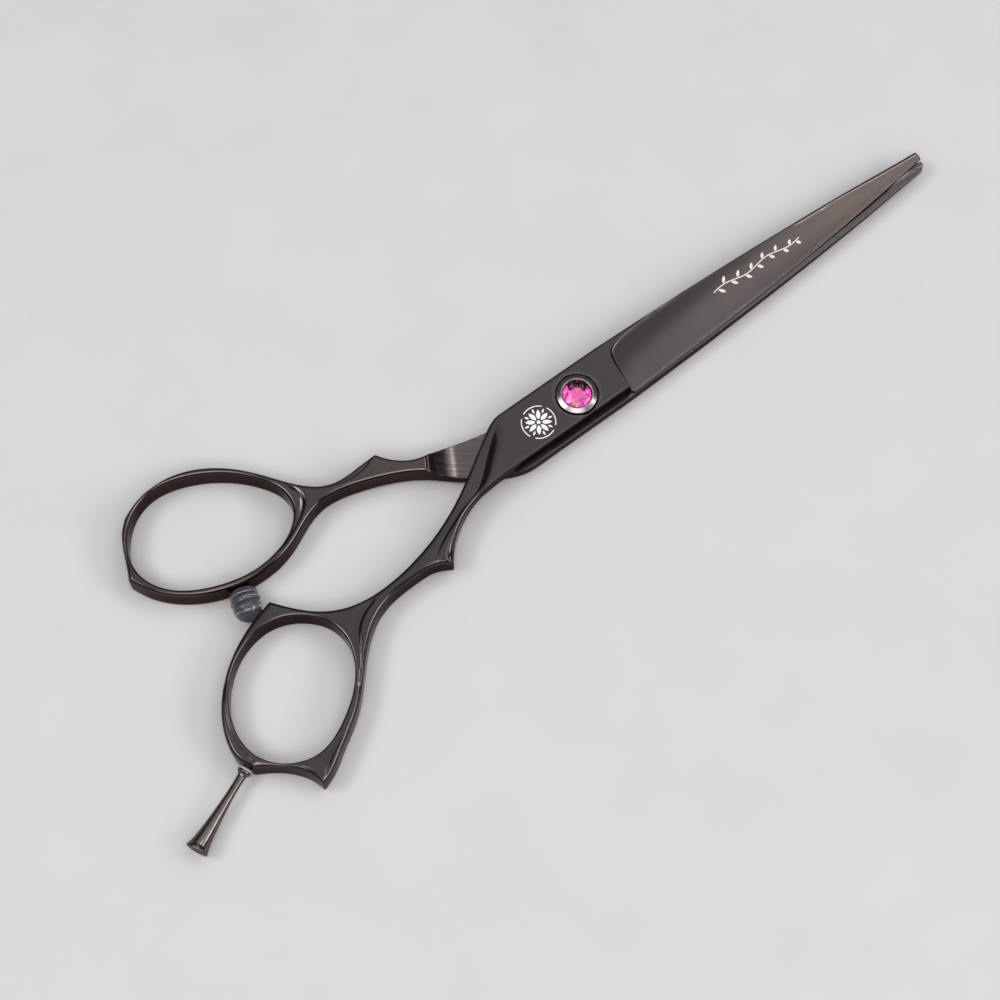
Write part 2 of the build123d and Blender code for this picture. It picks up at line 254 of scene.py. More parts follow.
def nylon():
    m, nt, b = new_material("nylon")
    cloud = noise(nt, coords(nt), 900.0, 3.0, 0.6)
    col = ramp(nt, cloud, [(0.3, (0.42, 0.41, 0.38)), (0.7, (0.55, 0.54, 0.50))])
    nt.links.new(col.outputs["Color"], b.inputs["Base Color"])
    nt.links.new(math_node(nt, "MULTIPLY_ADD", cloud, 0.2, 0.38), b.inputs["Roughness"])
    nt.links.new(bump(nt, noise(nt, coords(nt), 4200.0, 2.0, 0.5), 0.1, 0.00003), b.inputs["Normal"])
    return m


def stone_glass():
    """Cut pink crystal."""
    m, nt, b = new_material("pink_stone")
    swirl = noise(nt, coords(nt), 700.0, 2.0, 0.5)
    col = ramp(nt, swirl, [(0.3, (1.0, 0.17, 0.52)), (0.7, (1.0, 0.30, 0.64))])
    nt.links.new(col.outputs["Color"], b.inputs["Base Color"])
    b.inputs["Transmission Weight"].default_value = 1.0
    b.inputs["IOR"].default_value = 1.56
    nt.links.new(math_node(nt, "MULTIPLY", swirl, 0.012), b.inputs["Roughness"])
    return m


def foil():
    """Mirror foil behind the crystal."""
    m, nt, b = new_material("mirror_foil")
    grain = noise(nt, coords(nt), 2400.0, 2.0, 0.5)
    col = ramp(nt, grain, [(0.3, (0.95, 0.46, 0.72)), (0.7, (1.0, 0.66, 0.86))])
    nt.links.new(col.outputs["Color"], b.inputs["Base Color"])
    b.inputs["Metallic"].default_value = 1.0
    nt.links.new(math_node(nt, "MULTIPLY_ADD", grain, 0.08, 0.07), b.inputs["Roughness"])
    return m


def clear_plastic():
    """Clear bumper plastic with flow marks; its grey tint is painted shade, darkening it as if a dark ground showed
    through.
    """
    m, nt, b = new_material("clear_plastic_painted_dark")
    haze = noise(nt, coords(nt), 420.0, 3.0, 0.6, 1.2)
    # grey tint: painted shade that stands in for a dark ground seen through the clear plastic
    col = ramp(nt, haze, [(0.3, (0.20, 0.20, 0.24)), (0.7, (0.34, 0.34, 0.39))])
    nt.links.new(col.outputs["Color"], b.inputs["Base Color"])
    b.inputs["Transmission Weight"].default_value = 0.90
    b.inputs["IOR"].default_value = 1.49
    nt.links.new(math_node(nt, "MULTIPLY_ADD", haze, 0.10, 0.02), b.inputs["Roughness"])
    nt.links.new(bump(nt, haze, 0.12, 0.00006), b.inputs["Normal"])
    return m


def etched(name, dark, light):
    """Laser marking: bright satin grain."""
    m, nt, b = new_material(name)
    grain = noise(nt, coords(nt), 5200.0, 3.0, 0.7)
    col = ramp(nt, grain, [(0.3, dark), (0.7, light)])
    nt.links.new(col.outputs["Color"], b.inputs["Base Color"])
    b.inputs["Metallic"].default_value = 0.10
    nt.links.new(math_node(nt, "MULTIPLY_ADD", grain, 0.2, 0.42), b.inputs["Roughness"])
    nt.links.new(bump(nt, grain, 0.3, 0.00002), b.inputs["Normal"])
    return m


DARK_TINT = (0.42, 0.38, 0.38, 1.0)
MAT = {
    "steel": coated_steel(), "ride": brushed_ride(), "inner": ground_inner(),
    "turned": turned_metal("turned_coated", (0.085, 0.075, 0.078), (0.130, 0.115, 0.118), (0.19, 0.17, 0.17), 0.12, 5200.0, 0.2, DARK_TINT),
    "rest": turned_metal("turned_rest", (0.110, 0.096, 0.092), (0.145, 0.125, 0.119), (0.190, 0.164, 0.155), 0.14, 1800.0, 0.12, DARK_TINT, (-83.05, -19.31)),
    "head": turned_metal("turned_head", (0.24, 0.22, 0.22), (0.32, 0.30, 0.30), (0.42, 0.40, 0.40), 0.14, 5200.0, 0.25, (0.8, 0.78, 0.78, 1.0)),
    "nut": turned_metal("turned_nut", (0.055, 0.048, 0.050), (0.080, 0.070, 0.073), (0.12, 0.105, 0.105), 0.16, 4200.0, 0.25, DARK_TINT),
    "spring": turned_metal("spring_steel", (0.34, 0.34, 0.35), (0.45, 0.45, 0.46), (0.56, 0.56, 0.57), 0.26),
    "brass": turned_metal("turned_brass", (0.52, 0.37, 0.15), (0.66, 0.49, 0.22), (0.78, 0.62, 0.32), 0.24),
    "nylon": nylon(), "stone": stone_glass(), "foil": foil(), "clear": clear_plastic(),
    "etch_white": etched("laser_white", (0.80, 0.79, 0.78), (0.97, 0.96, 0.95)),
    "etch_rose": etched("laser_rose", (0.66, 0.58, 0.54), (0.95, 0.88, 0.83)),
}

# =====================================================================
# plan curves
# =====================================================================
SPINE = np.array([(7.2, 5.10), (12.94, 4.94), (18.68, 4.76), (24.42, 4.57), (30.16, 4.37), (35.9, 4.14), (41.63, 3.88),
                  (47.37, 3.59), (53.1, 3.26), (58.83, 2.9), (64.56, 2.48), (70.28, 2.02), (76.7, 1.60)])
EDGE = np.array([(8.9, -4.92), (16.57, -4.59), (24.04, -4.24), (31.51, -3.84), (38.97, -3.38), (46.43, -2.86),
                 (53.89, -2.26), (61.33, -1.59), (68.77, -0.82), (76.7, 0.08)])
FH_NORTH = [(-12.0, 5.15), (-13.4, 5.12), (-17.39, 3.41), (-21.1, 1.11), (-24.76, -1.26), (-28.58, -3.38),
            (-32.57, -5.15), (-36.7, -6.54), (-40.95, -7.52), (-45.28, -8.06), (-49.64, -8.0), (-53.89, -7.07),
            (-57.71, -5.0), (-60.87, -2.01), (-63.6, 1.4)]
FH_RING_A = [(-63.6, 1.4), (-67.12, 0.46), (-70.52, -0.85), (-73.74, -2.56), (-76.68, -4.7), (-79.27, -7.27),
             (-81.4, -10.22), (-82.89, -13.53), (-83.4, -17.13), (-82.2, -20.5)]
FH_RING_B = [(-82.2, -20.5), (-80.05, -21.74), (-78.08, -23.23), (-76.37, -25.03), (-75.07, -27.14),
             (-74.35, -29.5)]
FH_SOUTH_A = [(-74.35, -29.5), (-71.27, -28.26), (-68.45, -26.47), (-65.64, -24.68), (-62.88, -22.81),
              (-60.38, -20.6), (-58.1, -18.18), (-55.84, -15.72), (-53.43, -13.42), (-50.71, -11.5),
              (-47.65, -10.3), (-44.35, -9.84), (-41.01, -9.8), (-37.71, -10.14), (-34.8, -11.7)]
FH_SOUTH_B = [(-34.8, -11.7), (-33.19, -9.61), (-31.26, -7.83), (-29.06, -6.37), (-26.66, -5.29), (-24.12, -4.6),
              (-21.5, -4.32), (-19.5, -4.2)]
FH_HOLE = [(-62.79, -2.57), (-59.77, -4.63), (-57.61, -7.57), (-56.92, -11.14), (-57.77, -14.69), (-59.66, -17.83),
           (-62.24, -20.43), (-65.25, -22.53), (-68.53, -24.18), (-72.11, -24.88), (-75.65, -24.0),
           (-78.64, -21.9), (-80.6, -18.83), (-81.09, -15.21), (-80.34, -11.63), (-78.69, -8.36), (-76.32, -5.57),
           (-73.37, -3.39), (-69.98, -2.02), (-66.33, -1.67)]
TH_NORTH = [(-12.0, 4.2), (-16.0, 4.55), (-21.0, 5.7), (-23.58, 6.26), (-25.68, 6.49), (-27.78, 6.81),
            (-29.77, 7.52), (-31.52, 8.71), (-32.98, 10.23), (-34.15, 12.0)]
TH_RING_A = [(-34.15, 12.0), (-37.59, 11.91), (-41.03, 11.87), (-44.33, 12.76), (-47.05, 14.84), (-49.26, 17.47),
             (-51.3, 20.25), (-53.46, 22.93), (-55.9, 25.35), (-58.67, 27.4), (-61.74, 28.95), (-65.05, 29.84),
             (-68.48, 30.0), (-71.87, 29.4), (-75.0, 28.0)]
TH_RING_B = [(-75.0, 28.0), (-76.55, 26.42), (-77.73, 24.55), (-78.66, 22.53), (-79.52, 20.49), (-80.5, 18.5)]
TH_SOUTH = [(-80.5, 18.5), (-78.94, 15.2), (-76.65, 12.36), (-73.83, 10.05), (-70.63, 8.28), (-67.2, 7.04),
            (-63.61, 6.36), (-59.96, 6.28), (-56.35, 6.87), (-52.93, 8.15), (-49.62, 9.7), (-46.12, 10.55),
            (-42.49, 10.2), (-39.0, 9.2), (-35.59, 7.91), (-32.29, 6.34), (-29.2, 4.4), (-26.4, 2.05),
            (-23.57, -0.26), (-20.47, -2.2), (-17.26, -3.95), (-13.4, -5.12), (-12.0, -5.15)]
TH_HOLE = [(-60.81, 27.18), (-57.51, 25.16), (-54.58, 22.63), (-52.17, 19.6), (-50.59, 16.08), (-51.06, 12.3),
           (-53.71, 9.54), (-57.27, 8.05), (-61.1, 7.5), (-64.96, 7.83), (-68.69, 8.87), (-72.22, 10.45),
           (-75.36, 12.71), (-77.66, 15.8), (-78.5, 19.56), (-77.5, 23.26), (-75.17, 26.34), (-71.98, 28.5),
           (-68.21, 29.27), (-64.39, 28.65)]


def cubic(pts, step=0.12, closed=False):
    """Natural or periodic cubic spline through pts by chord length, sampled every step."""
    P = np.array(pts, float)
    if closed:
        P = np.vstack([P, P[:1]])
    h = np.hypot(*np.diff(P, axis=0).T)
    u = np.r_[0, np.cumsum(h)]
    n = len(P)
    A = np.zeros((n, n))
    B = np.zeros((n, 2))
    for i in range(1, n - 1):
        A[i, i - 1], A[i, i], A[i, i + 1] = h[i - 1], 2 * (h[i - 1] + h[i]), h[i]
        B[i] = 6 * ((P[i + 1] - P[i]) / h[i] - (P[i] - P[i - 1]) / h[i - 1])
    if closed:
        A[0, 0], A[0, n - 1] = 1, -1
        A[n - 1, 0] += 2 * h[0]
        A[n - 1, 1] += h[0]
        A[n - 1, n - 2] += h[-1]
        A[n - 1, n - 1] += 2 * h[-1]
        B[n - 1] = 6 * ((P[1] - P[0]) / h[0] - (P[n - 1] - P[n - 2]) / h[-1])
    else:
        A[0, 0] = A[n - 1, n - 1] = 1
    M = np.linalg.solve(A, B)
    t = np.linspace(0, u[-1], max(3, int(u[-1] / step) + 1))
    k = np.clip(np.searchsorted(u, t, side="right") - 1, 0, n - 2)
    a = (u[k + 1] - t) / h[k]
    b = (t - u[k]) / h[k]
    hh = h[k][:, None]
    a, b = a[:, None], b[:, None]
    return a * P[k] + b * P[k + 1] + ((a ** 3 - a) * M[k] + (b ** 3 - b) * M[k + 1]) * hh ** 2 / 6


def join(*parts):
    out = [np.asarray(parts[0], float)]
    for p in parts[1:]:
        p = np.asarray(p, float)
        out.append(p[1:] if np.hypot(*(p[0] - out[-1][-1])) < 1e-3 else p)
    P = np.vstack(out)
    return P[:-1] if np.hypot(*(P[0] - P[-1])) < 1e-3 else P


def area(P):
    x, y = P.T
    return 0.5 * np.sum(x * np.roll(y, -1) - np.roll(x, -1) * y)


def resample(P, step, closed=True):
    Q = np.vstack([P, P[:1]]) if closed else P
    d = np.r_[0, np.cumsum(np.hypot(*np.diff(Q, axis=0).T))]
    n = max(8, int(round(d[-1] / step)))
    t = np.linspace(0, d[-1], n + 1)
    R = np.c_[np.interp(t, d, Q[:, 0]), np.interp(t, d, Q[:, 1])]
    return R[:-1] if closed else R


def adaptive(P, err=0.0035, low=0.09, high=0.40):
    """Samples a dense closed loop more finely where it bends; returns points and outward normals."""
    P = resample(P, 0.05)
    T = np.roll(P, -3, 0) - np.roll(P, 3, 0)
    T /= np.hypot(*T.T)[:, None]
    ang = np.unwrap(np.arctan2(T[:, 1], T[:, 0]))
    k = np.abs(np.gradient(ang)) / 0.05
    k[:2] = k[2]
    k[-2:] = k[-3]
    for _ in range(12):
        k = np.maximum(k, 0.25 * np.roll(k, 1) + 0.5 * k + 0.25 * np.roll(k, -1))
    step = np.clip(np.sqrt(8 * err / np.maximum(k, 1e-4)), low, high)
    dens = np.r_[0, np.cumsum(0.05 / step)]
    n = int(round(dens[-1]))
    t = np.linspace(0, dens[-1], n + 1)[:-1]
    Q = np.vstack([P, P[:1]])
    TT = np.vstack([T, T[:1]])
    R = np.c_[np.interp(t, dens, Q[:, 0]), np.interp(t, dens, Q[:, 1])]
    N = np.c_[np.interp(t, dens, TT[:, 1]), -np.interp(t, dens, TT[:, 0])]
    return R, N / np.hypot(*N.T)[:, None]


def soften(P, passes):
    for _ in range(passes):
        P = 0.25 * np.roll(P, 1, 0) + 0.5 * P + 0.25 * np.roll(P, -1, 0)
    return P


def nearest(P, pts, closed=True):
    """Distance from each of pts to polyline P, the nearest point, and whether pts lie to its left."""
    A = P if closed else P[:-1]
    B = np.roll(P, -1, 0) if closed else P[1:]
    D = B - A
    L2 = (D ** 2).sum(1)
    best = np.full(len(pts), 1e18)
    q = np.zeros((len(pts), 2))
    side = np.zeros(len(pts))
    par = np.zeros(len(pts))
    for s in range(0, len(pts), 600):
        p = pts[s:s + 600]
        w = p[:, None, :] - A[None]
        t = np.clip((w * D[None]).sum(2) / L2[None], 0, 1)
        c = A[None] + t[..., None] * D[None]
        d2 = ((p[:, None, :] - c) ** 2).sum(2)
        i = d2.argmin(1)
        r = np.arange(len(p))
        best[s:s + 600] = d2[r, i]
        q[s:s + 600] = c[r, i]
        cr = D[i, 0] * w[r, i, 1] - D[i, 1] * w[r, i, 0]
        side[s:s + 600] = np.sign(cr)
        par[s:s + 600] = i + t[r, i]
    return np.sqrt(best), q, side, par


def contains(P, pts):
    x, y = pts[:, 0][:, None], pts[:, 1][:, None]
    x0, y0 = P[:, 0][None], P[:, 1][None]
    x1, y1 = np.roll(P[:, 0], -1)[None], np.roll(P[:, 1], -1)[None]
    out = np.zeros(len(pts), bool)
    for s in range(0, len(pts), 2000):
        xs, ys = x[s:s + 2000], y[s:s + 2000]
        c = ((y0 > ys) != (y1 > ys)) & (xs < (x1 - x0) * (ys - y0) / np.where(y1 == y0, 1e-12, y1 - y0) + x0)
        out[s:s + 2000] = c.sum(1) % 2 == 1
    return out


def loop_normals(P):
    """Outward normals of a loop that runs anticlockwise."""
    T = np.roll(P, -1, 0) - np.roll(P, 1, 0)
    T /= np.hypot(*T.T)[:, None]
    return np.c_[T[:, 1], -T[:, 0]]


def smooth01(x, a, b):
    t = np.clip((x - a) / (b - a), 0, 1)
    return t * t * (3 - 2 * t)


def smin(a, b, k):
    h = np.clip(0.5 + 0.5 * (b - a) / k, 0, 1)
    return b * (1 - h) + a * h - k * h * (1 - h)


# =====================================================================
# heights shared by both halves (finger half frame; the thumb half is the
# same blade turned over)
# =====================================================================
LIP, SPINE_BEVEL = 0.18, 0.45
FI, FO, TI, TO = 3.60, 6.40, 3.50, 0.70
PLUNGE = cubic([(8.15, -7.2), (8.32, -4.2), (8.52, -1.6), (8.74, 0.6), (9.0, 2.05), (9.5, 2.95), (10.5, 3.55),
                (12.2, 3.95), (15.0, 4.22), (20.0, 4.42), (27.0, 4.50), (36.0, 4.34), (50.0, 3.9)], 0.1)


def blade_h(x, y):
    ys = np.interp(x, SPINE[:, 0], SPINE[:, 1])
    ye = np.interp(x, EDGE[:, 0], EDGE[:, 1])
    w = ys - ye
    h = np.minimum(2.70, 0.46 + 0.228 * w)
    t = np.clip((y - ye) / (w - SPINE_BEVEL), 0, 1.0)
    lip = LIP + 0.33 * smooth01(x, 45.0, 76.0)
    return lip + (h - lip) * (t + 0.30 * t * (1 - t))


def outer_height(x, y):
    """Height of the outer face above the inner face over ride and blade."""
    pts = np.c_[x, y]
    q = np.full(len(pts), -9.0)
    near = x > 6.0
    if near.any():
        d, _, side, _ = nearest(PLUNGE, pts[near], closed=False)
        q[near] = -side * d
    hb = blade_h(x, y)
    t = np.clip(q / 0.50, 0, 1)
    f = np.sqrt(np.clip(1 - (1 - t) ** 2, 0, 1))
    return 2.80 + (hb - 2.80) * f, q


def inner_hollow(x, y):
    """Depth of the hollow ground into the inner face of the blade."""
    ys = np.interp(x, SPINE[:, 0], SPINE[:, 1])
    ye = np.interp(x, EDGE[:, 0], EDGE[:, 1])
    w = ys - ye
    t = np.clip((y - ye) / w, 0, 1)
    land = 0.75 / w
    u = np.clip((t - land) / (0.90 - land), 0, 1)
    dep = 0.17 * np.minimum(1, w / 6.0) * np.sin(np.pi * u) ** 1.7
    return dep * smooth01(x, 9.5, 13.0)


# =====================================================================
# building a half from its plan loops and its two height functions
# =====================================================================
def build_half(name, outer, holes, top, bottom, bevel_top, bevel_bot, lines, slot_of, grid=0.42, floor=None):
    """outer and holes: dense loops. top, bottom: f(x, y) -> z. bevel_*: f(q) -> (width, drop) at boundary point q.
    lines: extra polylines of points kept in the mesh. slot_of: f(cx, cy, side) -> material index per face."""
    loops = [outer if area(outer) > 0 else outer[::-1]] + [h if area(h) < 0 else h[::-1] for h in holes]
    # every loop has the metal on its left
    fine = [adaptive(L) for L in loops]
    loops = [f[0] for f in fine]
    n_loop = [len(L) for L in loops]
    P0 = np.vstack(loops)
    norm0 = np.vstack([f[1] for f in fine])      # out of the metal

    def boundary(pts):
        bd = np.full(len(pts), 1e9)
        bq = np.zeros((len(pts), 2))
        for L in loops:
            d, q, _, _ = nearest(L, pts)
            m = d < bd
            bd[m], bq[m] = d[m], q[m]
        return bd, bq

    wt, ht = bevel_top(P0)
    wb, hb = bevel_bot(P0)
    wrow = np.maximum(wt, wb)
    rows = []
    for f in (0.10, 0.28, 0.52, 0.78, 1.0, 1.3):
        sel = (wrow > 0.2) if f < 1.0 else np.ones(len(P0), bool)
        if f == 0.28:
            sel = sel | (wrow <= 0.2)
        if f == 0.52:
            sel = sel | (wrow <= 0.2)
        off = np.where(f > 1.0, wrow + 0.22, wrow * f)
        R = (P0 - norm0 * off[:, None])[sel]
        d, _ = boundary(R)
        rows.append(R[d > off[sel] - 0.010])
    ext = P0.min(0) - 0.5, P0.max(0) + 0.5
    gx = np.arange(ext[0][0], ext[1][0], grid)
    gy = np.arange(ext[0][1], ext[1][1], grid * 0.866)
    G = np.array([(x + (grid / 2 if j % 2 else 0), y) for j, y in enumerate(gy) for x in gx])
    ins = contains(loops[0], G)
    for L in loops[1:]:
        ins &= ~contains(L, G)
    G = G[ins]
    d, q = boundary(G)
    wloc, _ = bevel_top(q)
    wloc2, _ = bevel_bot(q)
    G = G[d > np.maximum(wloc, wloc2) + 0.22 + 0.20]
    extra = []
    for Ln in lines:
        Ln = np.asarray(Ln, float)
        m = contains(loops[0], Ln)
        for L in loops[1:]:
            m &= ~contains(L, Ln)
        Ln = Ln[m]
        if len(Ln):
            dd, qq = boundary(Ln)
            Ln = Ln[dd > 0.05]
            extra.append(Ln)
    if extra:
        E = np.vstack(extra)
        # grid points too close to the extra lines go
        keep = np.ones(len(G), bool)
        for s in range(0, len(G), 1500):
            dd = np.hypot(G[s:s + 1500, 0][:, None] - E[:, 0][None], G[s:s + 1500, 1][:, None] - E[:, 1][None]).min(1)
            keep[s:s + 1500] = dd > 0.12
        G = G[keep]
    else:
        E = np.zeros((0, 2))
    allp = np.vstack([P0] + rows + [E, G])
    # points that crowd an earlier point go, except on the boundary
    cell = {}
    keep = np.zeros(len(allp), bool)
    rmin = np.r_[np.zeros(len(P0)), np.full(len(allp) - len(P0), 0.055)]
    nrows = sum(len(R) for R in rows)
    first_row = np.arange(len(allp)) < len(P0) + nrows
    dall, qall = boundary(allp)
    wq = np.maximum(bevel_top(qall)[0], bevel_bot(qall)[0])
    rmin = np.where(first_row & (wq < 0.2), 0.018, rmin)
    for i, (x, y) in enumerate(allp):
        cx, cy = int(x // 0.06), int(y // 0.06)
        if i >= len(P0):
            bad = False
            r2 = rmin[i] ** 2
            for dx in (-1, 0, 1):
                for dy in (-1, 0, 1):
                    for j in cell.get((cx + dx, cy + dy), ()):
                        if (allp[j, 0] - x) ** 2 + (allp[j, 1] - y) ** 2 < r2:
                            bad = True
                            break
                    if bad:
                        break
                if bad:
                    break
            if bad:
                continue
        keep[i] = True
        cell.setdefault((cx, cy), []).append(i)
    pts = allp[keep]
    edges = []
    base = 0
    for n in n_loop:
        edges += [(base + i, base + (i + 1) % n) for i in range(n)]
        base += n
    res = delaunay_2d_cdt([Vector(p) for p in pts], edges, [], 0, 1e-6)
    V = np.array([tuple(v) for v in res[0]])
    F = np.array([tuple(f) for f in res[2]])
    orig = res[3]
    # map output verts to input ids
    vid = np.array([o[0] if len(o) else -1 for o in orig])
    inv = np.full(len(pts), -1)
    for i, o in enumerate(orig):
        for k in o:
            inv[k] = i
    C = V[F].mean(1)
    ok = contains(loops[0], C)
    for L in loops[1:]:
        ok &= ~contains(L, C)
    F = F[ok]
    # anticlockwise
    a = V[F[:, 0]]
    b = V[F[:, 1]]
    c = V[F[:, 2]]
    ar = (b[:, 0] - a[:, 0]) * (c[:, 1] - a[:, 1]) - (b[:, 1] - a[:, 1]) * (c[:, 0] - a[:, 0])
    F[ar < 0] = F[ar < 0][:, ::-1]
    F = F[np.abs(ar) > 1e-9]
    used = np.unique(F)
    remap = np.full(len(V), -1)
    remap[used] = np.arange(len(used))
    V = V[used]
    F = remap[F]
    inv = np.where(inv >= 0, remap[inv], -1)
    bid = inv[:len(P0)]
    d, q = boundary(V)
    onb = np.zeros(len(V), bool)
    onb[bid[bid >= 0]] = True
    d[onb] = 0.0

    def surf(fun, bev, sign):
        w, h = bev(q)
        z0 = fun(V[:, 0], V[:, 1])
        e = 0.02
        gxz = (fun(V[:, 0] + e, V[:, 1]) - fun(V[:, 0] - e, V[:, 1])) / (2 * e)
        gyz = (fun(V[:, 0], V[:, 1] + e) - fun(V[:, 0], V[:, 1] - e)) / (2 * e)
        t = np.clip(1 - d / w, 0, 1)
        drop = h * (1 - np.sqrt(np.clip(1 - t * t, 0, 1)))
        dd = np.where(t > 0, h / w * t / np.sqrt(np.clip(1 - t * t, 1e-6, 1)), 0)     # -d(drop)/dd
        inward = V - q
        L = np.hypot(*inward.T)
        inward = inward / np.maximum(L, 1e-9)[:, None]
        nb = np.zeros((len(V), 2))
        nb[bid[bid >= 0]] = -norm0[bid >= 0]
        inward[onb] = nb[onb]
        z = z0 - sign * drop
        nx = -gxz * sign - dd * inward[:, 0]
        ny = -gyz * sign - dd * inward[:, 1]
        nz = np.ones(len(V)) * sign
        N = np.c_[nx, ny, nz]
        N[onb] = np.c_[-nb[onb], np.zeros(onb.sum())]
        N /= np.linalg.norm(N, axis=1)[:, None]
        return z, N

    zt, Nt = surf(top, bevel_top, 1.0)
    zb, Nb = surf(bottom, bevel_bot, -1.0)
    nv = len(V)
    verts = [np.c_[V, zt], np.c_[V, zb]]
    norms = [Nt, Nb]
    faces = [F, F[:, ::-1] + nv]
    mats = [slot_of(C0, 1) for C0 in [V[F].mean(1)]][0], slot_of(V[F].mean(1), -1)
    mat = [np.asarray(mats[0]), np.asarray(mats[1])]
    # walls: rows between top and bottom boundary
    total = 2 * nv
    base = 0
    quads = []
    qmat = []
    wall_rows = 4
    for li, n in enumerate(n_loop):
        ids = inv[base:base + n]
        nrm = norm0[base:base + n]
        pz0, pz1 = zt[ids], zb[ids]
        rings = [ids]
        for r in range(1, wall_rows):
            f = r / wall_rows
            z = pz0 + (pz1 - pz0) * f
            verts.append(np.c_[V[ids], z])
            norms.append(np.c_[nrm, np.zeros(n)])
            rings.append(np.arange(total, total + n))
            total += n
        rings.append(ids + nv)
        for r0, r1 in zip(rings, rings[1:]):
            i = np.arange(n)
            j = (i + 1) % n
            quads.append(np.c_[r0[j], r0[i], r1[i], r1[j]])
            qmat.append(np.zeros(n, int))
        base += n
    VV = np.vstack(verts) * MM
    NN = np.vstack(norms)
    tri = np.vstack(faces)
    qd = np.vstack(quads)
    me = bpy.data.meshes.new(name)
    nf = len(tri) + len(qd)
    me.vertices.add(len(VV))
    me.vertices.foreach_set("co", VV.ravel())
    loopv = np.r_[tri.ravel(), qd.ravel()]
    me.loops.add(len(loopv))
    me.loops.foreach_set("vertex_index", loopv.astype(np.int32))
    me.polygons.add(nf)
    start = np.r_[np.arange(len(tri)) * 3, len(tri) * 3 + np.arange(len(qd)) * 4]
    me.polygons.foreach_set("loop_start", start.astype(np.int32))
    me.polygons.foreach_set("material_index", np.r_[np.concatenate(mat), np.concatenate(qmat)].astype(np.int32))
    me.update(calc_edges=True)
    me.validate()
    att = me.attributes.new("wear", "FLOAT", "POINT")
    wear = np.zeros(len(VV))
    wv = np.clip(1 - np.abs(d - 0.25) / 0.25, 0, 1)
    wear[:nv] = wv
    wear[nv:2 * nv] = wv
    att.data.foreach_set("value", wear.astype(np.float32))
    for p in me.polygons:
        p.use_smooth = True
    me.normals_split_custom_set_from_vertices([Vector(n) for n in NN])
    ob = bpy.data.objects.new(name, me)
    scene.collection.objects.link(ob)
    return ob


# =====================================================================
# finger half
# =====================================================================
fh_north = cubic(FH_NORTH)
fh_ringA = cubic(FH_RING_A)
fh_ringB = cubic(FH_RING_B)
fh_southA = cubic(FH_SOUTH_A)
fh_southB = cubic(FH_SOUTH_B)
edge_line = cubic([tuple(p) for p in EDGE], 0.2)
spine_line = cubic([tuple(p) for p in SPINE], 0.2)
tip = np.array([(76.76, 0.10), (76.81, 0.18), (76.79, 0.6), (76.72, 1.30), (76.66, 1.54), (76.50, 1.62)])
tip_low = np.array([(76.60, 0.09), (76.68, 0.16), (76.70, 0.5), (76.62, 0.85), (76.40, 1.10), (76.02, 1.36)])
edge_line = edge_line[edge_line[:, 0] < 76.6]
spine_line = spine_line[spine_line[:, 0] < 76.4]

fh_outer = join(fh_north, fh_ringA, fh_ringB, fh_southA, fh_southB,
                [(-19.5, -4.2), (-5.0, -4.2), (8.30, -4.2), (8.9, -4.92)], edge_line, tip, spine_line[::-1],
                [(-3.0, 5.15), (-12.0, 5.15)])
fh_outer = soften(resample(fh_outer, 0.06), 5)
fh_hole = cubic(FH_HOLE, 0.15, closed=True)[:-1]


def circle(r, n=96):
    a = np.linspace(0, 2 * np.pi, n, endpoint=False)
    return np.c_[r * np.cos(a), r * np.sin(a)]



def groove(pts, line, depth, wide, sharp, fade=2.0):
    """A soft fold along a line, fading out at its ends: eased over `wide` to the line's left, `sharp` to its right."""
    L = cubic(line, 0.15)
    d, q, side, par = nearest(L, pts, closed=False)
    s = par * 0.15
    tot = (len(L) - 1) * 0.15
    f = smooth01(s, -0.01, fade) * (1 - smooth01(s, tot - fade, tot + 0.01))
    w = np.where(side > 0, wide, sharp)
    return -depth * f * np.exp(-(d / w) ** 1.6)


# folds where the ring's band meets its outer flank: (line, depth, ease to the left, ease to the right)
FH_FOLDS = [
    ([(-61.0, -20.3), (-59.26, -18.71), (-57.5, -16.2), (-56.0, -13.9), (-54.7, -11.9), (-53.0, -10.3), (-50.85, -9.3), (-48.6, -8.75)], 0.20, 0.85, 0.30),
    ([(-73.9, -29.2), (-72.44, -27.97), (-70.92, -26.79), (-68.98, -25.71), (-66.4, -24.3)], 0.17, 0.70, 0.28),
    ([(-81.2, -20.2), (-81.89, -18.24), (-82.05, -16.02), (-81.71, -13.31), (-80.62, -10.32), (-78.76, -7.23), (-76.24, -4.18)], 0.15, 0.28, 0.60),
]
TH_FOLDS = [
    ([(-57.6, 7.75), (-56.16, 8.1), (-53.73, 9.01), (-52.28, 9.7), (-50.31, 10.91), (-48.85, 12.5), (-48.4, 13.95), (-48.7, 15.5), (-49.5, 17.3)], 0.20, 0.50, 0.32),
    ([(-43.0, 11.6), (-41.42, 11.2), (-39.53, 10.95), (-36.42, 11.3), (-34.6, 11.9)], 0.09, 0.4, 0.3),
]
# the crease where the ride ends and a rolled bar runs down to the spur; the flat of the handle is on its right
CREASE = cubic([(-12.9, 4.95), (-13.9, 4.1), (-16.1, 2.5), (-18.2, 0.9), (-20.2, -0.85), (-22.3, -2.62), (-24.3, -3.85),
                (-26.6, -4.55), (-28.7, -5.15), (-30.8, -6.04), (-33.3, -7.1), (-35.4, -8.3), (-36.9, -9.4), (-37.9, -10.3)], 0.15)


